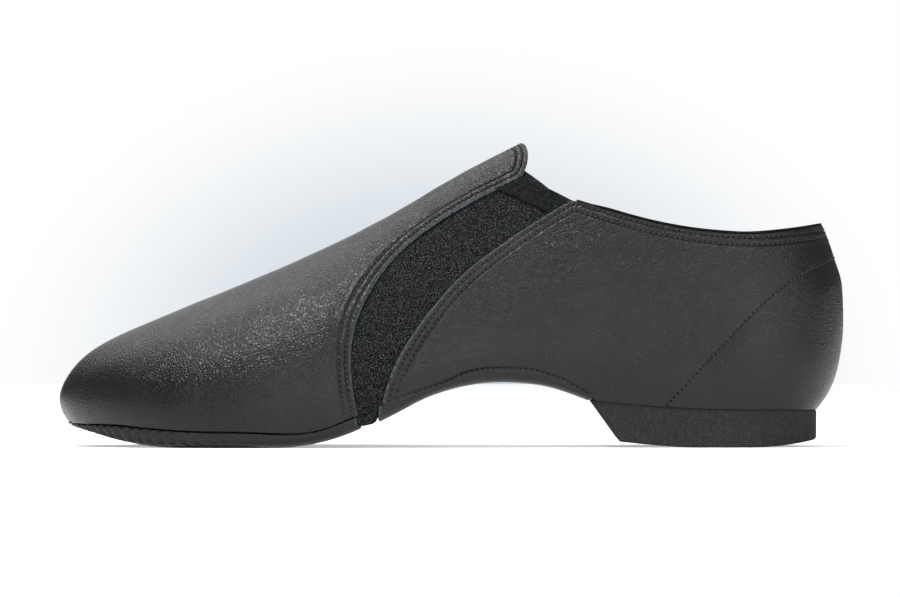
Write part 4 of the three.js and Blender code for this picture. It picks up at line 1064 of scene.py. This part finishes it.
def underside(rho, girth, side, rim_height, rim_angle, bottom, corner, flat_share, lift):
    """The underside of the shoe: flat in the middle, rounded up to the rim of the piece."""
    hub, rim, span = spokes(girth, side, rim_height, rim_angle)
    reach = np.linalg.norm(span, axis=-1)
    wide = corner(rim[..., 0])
    turn = np.clip((rho - flat_share) / (1 - flat_share), 0, 1) * math.pi / 2
    out = np.where(rho > flat_share, reach - wide + wide * np.sin(turn), rho / flat_share * (reach - wide))
    rise = 1 - np.cos(turn)
    place = hub + span * (out / reach)[..., None]
    foot = bottom(place[..., 0]) + (rim[..., 2] - bottom(rim[..., 0])) * rise
    foot = foot + lift(place[..., 0], place[..., 1]) * (1 - rise)
    return np.concatenate([place, foot[..., None]], -1)


def grid_normals(p):
    """Unit normals of a grid of points, turned to face up."""
    n = unit(np.cross(np.gradient(p, axis=0), np.gradient(p, axis=1)))
    return n * np.where(n[..., 2:] < 0, -1.0, 1.0)


def sole_grid(s, t, rear):
    """The square of fore_grid, run back over the sole as far as x = rear(rho)."""
    rho, girth, side = fore_grid(s, t)
    return rho, np.where(t < 0, girth, np.clip(t, 0, 1) * (rear(rho) - TOE_FAN)), side


def wrap_height(x):
    """The wrap's rim, just under the vamp's lower edge."""
    return feather(x) - 0.2


def wrap_corner(x):
    return WRAP_CORNER + 0 * x


def wrap_rear(rho):
    return mix(*WRAP_REAR, ramp(rho, 0.55, 1))


wrap_angle = border_angle(wrap_height)
wrap_rows = np.concatenate([np.linspace(-0.9999, 0, 130, endpoint=False), densely(110, 10, 0.03)])
s, t = np.meshgrid(np.linspace(-0.9999, 0.9999, 360), wrap_rows)
rho, girth, side = sole_grid(s, t, wrap_rear)
surface = underside(rho, girth, side, wrap_height, wrap_angle, sole_line, wrap_corner, 0.62, outsole_recess)
up = grid_normals(surface)
# Pleats fan out round the toe, where the leather's fullness is drawn under.
pleat_run = surface[..., 0] + np.abs(surface[..., 1]) * 0.9 + 4 * rho
pleats = np.sin(pleat_run * 2 * math.pi / PLEAT + 0.8 * waves(surface, 15, 12))
near_toe = 1 - ramp(surface[..., 0], -104, -60)
pleat_height = 0.5 * pleats * near_toe * ramp(rho, 0.66, 0.82) * (1 - ramp(rho, 0.96, 1))
outer = surface - up * (pleat_height - 0.1)[..., None]
raw = np.clip(1 - np.abs(surface[..., 0] - wrap_rear(rho)) / CUT_BEVEL, 0, 1) * (t > 0.9)
wrap = sheet_mesh("forefoot_leather_wrap", outer, surface + up * LEATHER, raw=raw)
fit(wrap, black_calf, "forefoot_wrap")

SEAM_TOE, SEAM_REACH = 0.4, 67  # the toe's share of half the seam, and how far it runs on from there
seam_angle = border_angle(lambda x: feather(x) + 0.5)
share = np.linspace(0, 1, 700)
girths = np.where(share < SEAM_TOE, share / SEAM_TOE - 1, (share - SEAM_TOE) / (1 - SEAM_TOE) * SEAM_REACH)
half_seam = {side: ray_hit(girths, float(side), seam_angle(girths, side)) for side in (-1, 1)}
sole_seam = Row(np.vstack([half_seam[-1][::-1], half_seam[1][1:]]))
sew("sole_seam_stitches", sole_seam, "sole_seam_thread", sink=0.45)


def plate_mesh(name, low, thickness, edge=0.3):
    """A plate above a grid of points, with rounded edges."""
    return sheet_mesh(name, low, low + np.array([0.0, 0.0, thickness]), edge=edge)


blunt = np.linspace(-1, 1, 90)
s, t = np.meshgrid(np.linspace(-1, 1, 90), 0.992 * np.sin(blunt * math.pi / 2))
x = mix(*OUTSOLE_SPAN, (t + 1) / 2)
side = side_of(s)
y = middle(x) + s * outsole_half(x, side) * (1 - np.abs(t) ** OUTSOLE_ROUND) ** (1 / OUTSOLE_ROUND)
outsole = plate_mesh("forefoot_suede_outsole", np.stack([x, y, sole_line(x)], -1), OUTSOLE)
fit(outsole, sole_suede, "forefoot_outsole", "forefoot")


def fore_plate(name, rear, margin, height, thickness):
    """A plate inside the forefoot that follows the sole, with a margin all round."""
    s, t = np.meshgrid(np.linspace(-0.999, 0.999, 100), np.linspace(-0.999, 1, 120))
    rho, girth, side = sole_grid(s, t, lambda rho: rear)
    hub, _, span = spokes(girth, side, wrap_height, wrap_angle)
    reach = np.linalg.norm(span, axis=-1)
    place = hub + span * (rho * (reach - margin) / reach)[..., None]
    low = sole_line(place[..., 0]) + height
    return plate_mesh(name, np.concatenate([place, low[..., None]], -1), thickness)


INSOLE, INSOLE_REAR, INSOLE_MARGIN = 1.2, -39.0, 7.7
SOCK, SOCK_REAR, SOCK_MARGIN = 2.0, -41.0, 4.7
INSOLE_HEIGHT = OUTSOLE + LEATHER + 2 * CLEARANCE
SOCK_HEIGHT = INSOLE_HEIGHT + INSOLE + CLEARANCE
insole = fore_plate("forefoot_insole_board", INSOLE_REAR, INSOLE_MARGIN, INSOLE_HEIGHT, INSOLE)
fit(insole, board, "forefoot_insole", "forefoot")
sock = fore_plate("forefoot_sock_lining", SOCK_REAR, SOCK_MARGIN, SOCK_HEIGHT, SOCK)
fit(sock, drill, "forefoot_sock", "forefoot")


# ---- Arch -----------------------------------------------------------------------------------------
# The open waist between the two halves of the sole: the quarters' leather drawn under the foot, a
# cotton lining inside it, and a strip of stretch cloth where the shoe bends.

ARCH = curve([(-24.5, 7.2), (-17.4, 10.8), (-9.4, 14.9), (0.2, 18.4), (8.2, 20.1), (16.2, 20.8),
              (24.2, 20.4), (32.2, 19), (38.6, 16.9), (44.5, 14.6)])
ARCH_CORNER = 8.0
ARCH_SPAN, ARCH_LINING_SPAN, WAIST_SPAN = (-22.4, 46.4), (-13.5, 46.5), (-36.0, -16.5)


def trough(span, reach, rim_height, bottom, corner, lift, rows, columns=160):
    """The underside between two places along the shoe, from rim to rim."""
    s, x = np.meshgrid(np.linspace(-1, 1, columns), np.linspace(*span, rows))
    return underside(np.abs(s) * reach, x - TOE_FAN, side_of(s), rim_height, lambda girth, side: 0 * girth,
                     bottom, corner, 0.5, lift)


def no_lift(x, y):
    """The arch has no outsole let into it, at any place."""
    return 0 * x


def arch_corner(x):
    return ARCH_CORNER + 0 * x


def arch_bottom(x):
    """The arch, which flattens out where its leather lies on the heel seat."""
    return np.where(x > 40, np.maximum(ARCH(x), 14.95), ARCH(x))


surface = trough(ARCH_SPAN, 1, HEM, arch_bottom, arch_corner, no_lift, 150)
up = grid_normals(surface)
raw = np.clip(1 - (surface[..., 0] - ARCH_SPAN[0]) / CUT_BEVEL, 0, 1)
arch = sheet_mesh("arch_leather_wrap", surface - up * leather_swell(surface)[..., None],
                  surface + up * LEATHER, edge=(0.25, 0.25, 0.01, 0.01), raw=raw)
fit(arch, black_calf, "arch_wrap")

surface = trough(ARCH_LINING_SPAN, 0.96, HEM, arch_bottom, arch_corner, no_lift, 90)
up = grid_normals(surface)
arch_lining = sheet_mesh("arch_cotton_lining", surface + up * SECOND, surface + up * (SECOND + LINING))
fit(arch_lining, drill, "arch_lining")


def waist_bottom(x):
    """The waist goes over from the sole's line to the arch's, and so do its rim and its corner."""
    return mix(sole_line(np.minimum(x, -28)), ARCH(np.maximum(x, -24.5)), ramp(x, -30, -23))


def waist_rim(x):
    return mix(wrap_height(x), HEM(x) - 0.2, ramp(x, -30, -22.5))


def waist_corner(x):
    return mix(WRAP_CORNER, ARCH_CORNER, ramp(x, -30, -22.5))


surface = trough(WAIST_SPAN, 0.985, waist_rim, waist_bottom, waist_corner, outsole_recess, 60)
up = grid_normals(surface)
# In the gap between the wrap and the arch the cloth bulges out until it is nearly level with the leather.
across = np.abs(np.linspace(-1, 1, surface.shape[1]))
bulge = ramp(surface[..., 0], -29.5, -27) * (1 - ramp(surface[..., 0], -23.5, -22.2))
bulge = bulge * (1 - ramp(across, 0.7, 0.95))
depth = mix(SECOND - 0.15, 0.35, bulge)[..., None]
waist = sheet_mesh("waist_stretch_strip", surface + up * depth, surface + up * (depth + STRETCH))
fit(waist, neoprene, "waist_strip")


# ---- Heel -----------------------------------------------------------------------------------------
# A low block cut from a sheet of micro-cellular rubber, buffed at its sides and nailed up from inside
# through the seat board. A foam cushion and a cloth sock lie on the board.

BREAST_TOP, BREAST_FOOT = 44.5, 53.8
BREAST_POINTS = 40
HEEL_FLAT = (78.0, 94.0)
HEEL_END = 117.2
HEEL_CENTRE = 85.0


def cellular_rubber(name, dark, light):
    """Micro-cellular rubber: matt black with an even fine speckle of cut-open cells and buffing marks."""
    made, tree = material(name)
    where = node(tree, "ShaderNodeTexCoord").outputs["Object"]
    cells = node(tree, "ShaderNodeTexVoronoi", {"Vector": where, "Scale": per_mm(0.55)})
    marks = node(tree, "ShaderNodeMapping", {"Vector": where, "Scale": (1.0, 1.0, 0.25)})
    buffed = node(tree, "ShaderNodeTexNoise",
                  {"Vector": marks.outputs[0], "Scale": per_mm(0.6), "Detail": 3.0})
    tone = node(tree, "ShaderNodeMath", {0: cells.outputs["Distance"], 1: buffed.outputs["Fac"]},
                operation="MULTIPLY")
    tone = node(tree, "ShaderNodeMapRange", {"Value": tone.outputs[0], "From Min": 0.1, "From Max": 0.45})
    colour = node(tree, "ShaderNodeMix",
                  {"Factor": tone.outputs[0], "A": linear(dark), "B": linear(light)}, data_type="RGBA")
    relief = node(tree, "ShaderNodeBump",
                  {"Height": cells.outputs["Distance"], "Strength": 0.6, "Distance": 0.00015})
    shader = node(tree, "ShaderNodeBsdfPrincipled",
                  {"Base Color": colour.outputs["Result"], "Roughness": 0.85, "Normal": relief.outputs[0],
                   "Specular IOR Level": 0.35})
    node(tree, "ShaderNodeOutputMaterial", {"Surface": shader.outputs[0]})
    return made


rubber = cellular_rubber("micro_cellular_rubber", "#0c0d0e", "#242627")


def heel_floor(x):
    """The foot of the block, which springs up a little at its front and its back."""
    front = 1.9 * (np.maximum(HEEL_FLAT[0] - x, 0) / (HEEL_FLAT[0] - BREAST_FOOT)) ** 1.4
    return front + 2.4 * (np.maximum(x - HEEL_FLAT[1], 0) / (HEEL_END - HEEL_FLAT[1])) ** 2


def heel_block():
    """Rings from the seat down to the floor; each is the heel's plan, cut off by the slanted breast."""
    a = mix(BREAST_TOP - 3, BACK_MIDDLE, np.linspace(0, 1, 150))
    half = {side: skin(a, seat(a), side)[:, :2] for side in (-1, 1)}
    plan = np.vstack([half[-1], half[1][-2::-1]])
    # How far down each ring is, and how far it is drawn in to round the block's edges.
    levels = [(0, 0.45), (0.02, 0.18), (0.05, 0.04), (0.1, 0)]
    levels += [(h, 0) for h in np.linspace(0.16, 0.86, 14)]
    levels += [(0.92, 0.02), (0.96, 0.14), (0.985, 0.34), (1, 0.62)]
    centre = np.array([HEEL_CENTRE, float(middle(HEEL_CENTRE))])
    across = np.linspace(0, 1, BREAST_POINTS + 2)[1:-1, None]
    rings = []
    for share, inset in levels:
        ring = plan + unit(centre - plan) * inset
        front = mix(BREAST_TOP, BREAST_FOOT, share) + inset * 0.7
        ring[:, 0] = np.maximum(ring[:, 0], front)
        top = SEAT(np.clip(ring[:, 0], BREAST_TOP, SEAT_REAR)) - 0.12
        ring = np.column_stack([ring, mix(top, heel_floor(ring[:, 0]), share)])
        # The open front of the ring is closed by a straight run of points across the breast.
        rings.append(np.vstack([ring, mix(ring[-1], ring[0], across)]))
    count = len(rings[0])
    i = np.arange(count)
    j = (i + 1) % count
    faces = []
    for k in range(len(rings) - 1):
        low, high = k * count, (k + 1) * count
        faces += np.column_stack([low + i, low + j, high + j, high + i]).tolist()
    return np.vstack(rings), faces, count


def cap_faces(first, count):
    """Strips across a ring whose points run out along one side and back along the other."""
    seam = count - BREAST_POINTS
    faces = []
    for i in range((seam - 1) // 2):
        a, b = first + i, first + i + 1
        c, d = first + seam - 2 - i, first + seam - 1 - i
        faces.append([a, b, c, d] if b != c else [a, b, d])
    return faces + [[first] + [first + i for i in range(count - 1, seam - 2, -1)]]


vertices, faces, count = heel_block()
faces += cap_faces(0, count)
faces += [face[::-1] for face in cap_faces(len(vertices) - count, count)]
heel = mesh_object("heel_rubber_block", vertices, faces)
fit(heel, rubber, "heel_block", "rearfoot")

SEAT_SPAN, SEAT_MARGIN = (47, 111), 4.8


def seat_plate(name, height, thickness):
    """A plate inside the heel that follows the seat, with a margin all round."""
    s, x = np.meshgrid(np.linspace(-1, 1, 70), np.linspace(*SEAT_SPAN, 110))
    length = BACK(12) - HEEL_TURN
    body_x = np.where(x > HEEL_TURN, HEEL_TURN + (x - HEEL_TURN) * (length / (length - SEAT_MARGIN)), x)
    half = half_width(body_x, SEAT(x), side_of(s)) - SEAT_MARGIN
    y = middle(x) + s * np.maximum(half, 2)
    return plate_mesh(name, np.stack([x, y, SEAT(x) + height], -1), thickness)


SEAT_BOARD, CUSHION, HEEL_SOCK = 1.6, 3.0, 0.8
CUSHION_HEIGHT = SEAT_BOARD + CLEARANCE
seat_board = seat_plate("heel_seat_leather_board", 0.0, SEAT_BOARD)
fit(seat_board, board, "heel_seat_board", "rearfoot")
cushion = seat_plate("heel_latex_cushion", CUSHION_HEIGHT, CUSHION)
fit(cushion, drill, "heel_cushion", "rearfoot")
heel_sock = seat_plate("heel_cotton_sock", CUSHION_HEIGHT + CUSHION + CLEARANCE, HEEL_SOCK)
fit(heel_sock, drill, "heel_sock", "rearfoot")


# ---- Studio ---------------------------------------------------------------------------------------
# A white acrylic floor that ends at a pale paper wall. A wide silk hangs overhead, and four softboxes
# stand in front, high up, low at the heel and to the right. The studio's sizes are in metres.

VIEW_WIDTH, VIEW_MIDDLE = 0.288, 0.0473
DISTANCE, ELEVATION = 4.0, math.radians(0.3)
WALL = 1.64  # behind the shoe
WALL_HALF, WALL_HEIGHT = 0.45, 0.55
FLOOR_HALF, FLOOR_FRONT = 4, -5


def plane(name, corners, made):
    mesh = bpy.data.meshes.new(name)
    mesh.from_pydata(corners, [], [[0, 1, 2, 3]])
    mesh.materials.append(made)
    add(name, mesh)


# Matt white acrylic, which the silk lights so evenly that it seems to glow.
white_floor, tree = material("white_acrylic_floor")
shader = node(tree, "ShaderNodeBsdfPrincipled",
              {"Base Color": linear("#eeeeef"), "Roughness": 0.8,
               "Emission Color": linear("#ffffff"), "Emission Strength": 0.4})
node(tree, "ShaderNodeOutputMaterial", {"Surface": shader.outputs[0]})
plane("floor", [(-FLOOR_HALF, FLOOR_FRONT, 0), (FLOOR_HALF, FLOOR_FRONT, 0), (FLOOR_HALF, WALL, 0),
                (-FLOOR_HALF, WALL, 0)], white_floor)

wall_paper, tree = material("pale_backdrop")
where = node(tree, "ShaderNodeTexCoord").outputs["Object"]
parts = node(tree, "ShaderNodeSeparateXYZ", {0: where})
# A pale blue glow low in the middle of the wall fades to white above and to both sides.
sideways = node(tree, "ShaderNodeMath", {0: parts.outputs["X"], 1: 4.6}, operation="MULTIPLY")
upward = node(tree, "ShaderNodeMath", {0: parts.outputs["Z"], 1: 6.2}, operation="MULTIPLY")
spot = node(tree, "ShaderNodeCombineXYZ", {0: sideways.outputs[0], 1: upward.outputs[0]})
far = node(tree, "ShaderNodeVectorMath", {0: spot.outputs[0]}, operation="LENGTH")
fade = node(tree, "ShaderNodeMapRange", {"Value": far.outputs["Value"], "From Min": 0.25, "From Max": 1.0},
            interpolation_type="SMOOTHSTEP")
colour = node(tree, "ShaderNodeMix",
              {"Factor": fade.outputs[0], "A": linear("#cfdae2"), "B": linear("#ffffff")}, data_type="RGBA")
glow = node(tree, "ShaderNodeEmission", {"Color": colour.outputs["Result"], "Strength": 1.0})
node(tree, "ShaderNodeOutputMaterial", {"Surface": glow.outputs[0]})
plane("backdrop", [(-WALL_HALF, WALL, 0), (WALL_HALF, WALL, 0), (WALL_HALF, WALL, WALL_HEIGHT),
                   (-WALL_HALF, WALL, WALL_HEIGHT)], wall_paper)

world = bpy.data.worlds.new("studio")
bpy.context.scene.world = world
world.use_nodes = True
tree = world.node_tree
where = node(tree, "ShaderNodeTexCoord").outputs["Generated"]
parts = node(tree, "ShaderNodeSeparateXYZ", {0: where})
height = node(tree, "ShaderNodeMapRange",
              {"Value": parts.outputs["Z"], "From Min": 0.0, "From Max": 0.7,
               "To Min": 0.07, "To Max": 0.34})
tree.links.new(height.outputs[0], tree.nodes["Background"].inputs["Strength"])
tree.nodes["Background"].inputs["Color"].default_value = linear("#e8edf2")


def stand(name, data, place, aim):
    """Sets a light or a camera up at a place and turns it to face a point."""
    thing = add(name, data)
    thing.location = place
    thing.rotation_euler = (Vector(aim) - Vector(place)).to_track_quat("-Z", "Y").to_euler()
    return thing


def softbox(name, place, aim, size, power):
    light = bpy.data.lights.new(name, "AREA")
    light.shape = "RECTANGLE"
    light.size, light.size_y = size
    light.energy = power
    stand(name, light, place, aim)


# The silk is far enough away to light the whole floor alike, so only its direction counts.
silk = bpy.data.lights.new("overhead_silk", "SUN")
silk.energy = 1.1
silk.angle = math.radians(45)
stand("overhead_silk", silk, (0, 0, 0), (0.22, -0.62, -0.8))
softbox("front_key_softbox", (-0.1, -1.25, 0.6), (0.03, 0, 0.05), (0.3, 0.2), 5)
softbox("high_front_softbox", (-0.28, -0.28, 1.15), (-0.03, 0, 0.05), (0.26, 0.2), 15)
softbox("low_heel_softbox", (0.44, -1.15, 0.1), (0.1, 0, 0.04), (0.18, 0.12), 3.4)
softbox("right_softbox", (0.95, -0.85, 0.45), (0.1, 0, 0.05), (0.3, 0.3), 4)

camera = bpy.data.cameras.new("camera")
camera.sensor_width = 36
camera.lens = camera.sensor_width * DISTANCE / VIEW_WIDTH
camera.clip_end = 20
camera_height = VIEW_MIDDLE + DISTANCE * math.tan(ELEVATION)
view = stand("camera", camera, (0, -DISTANCE, camera_height), (0, 0, VIEW_MIDDLE))
bpy.context.scene.camera = view
bpy.context.scene.view_settings.view_transform = "Standard"
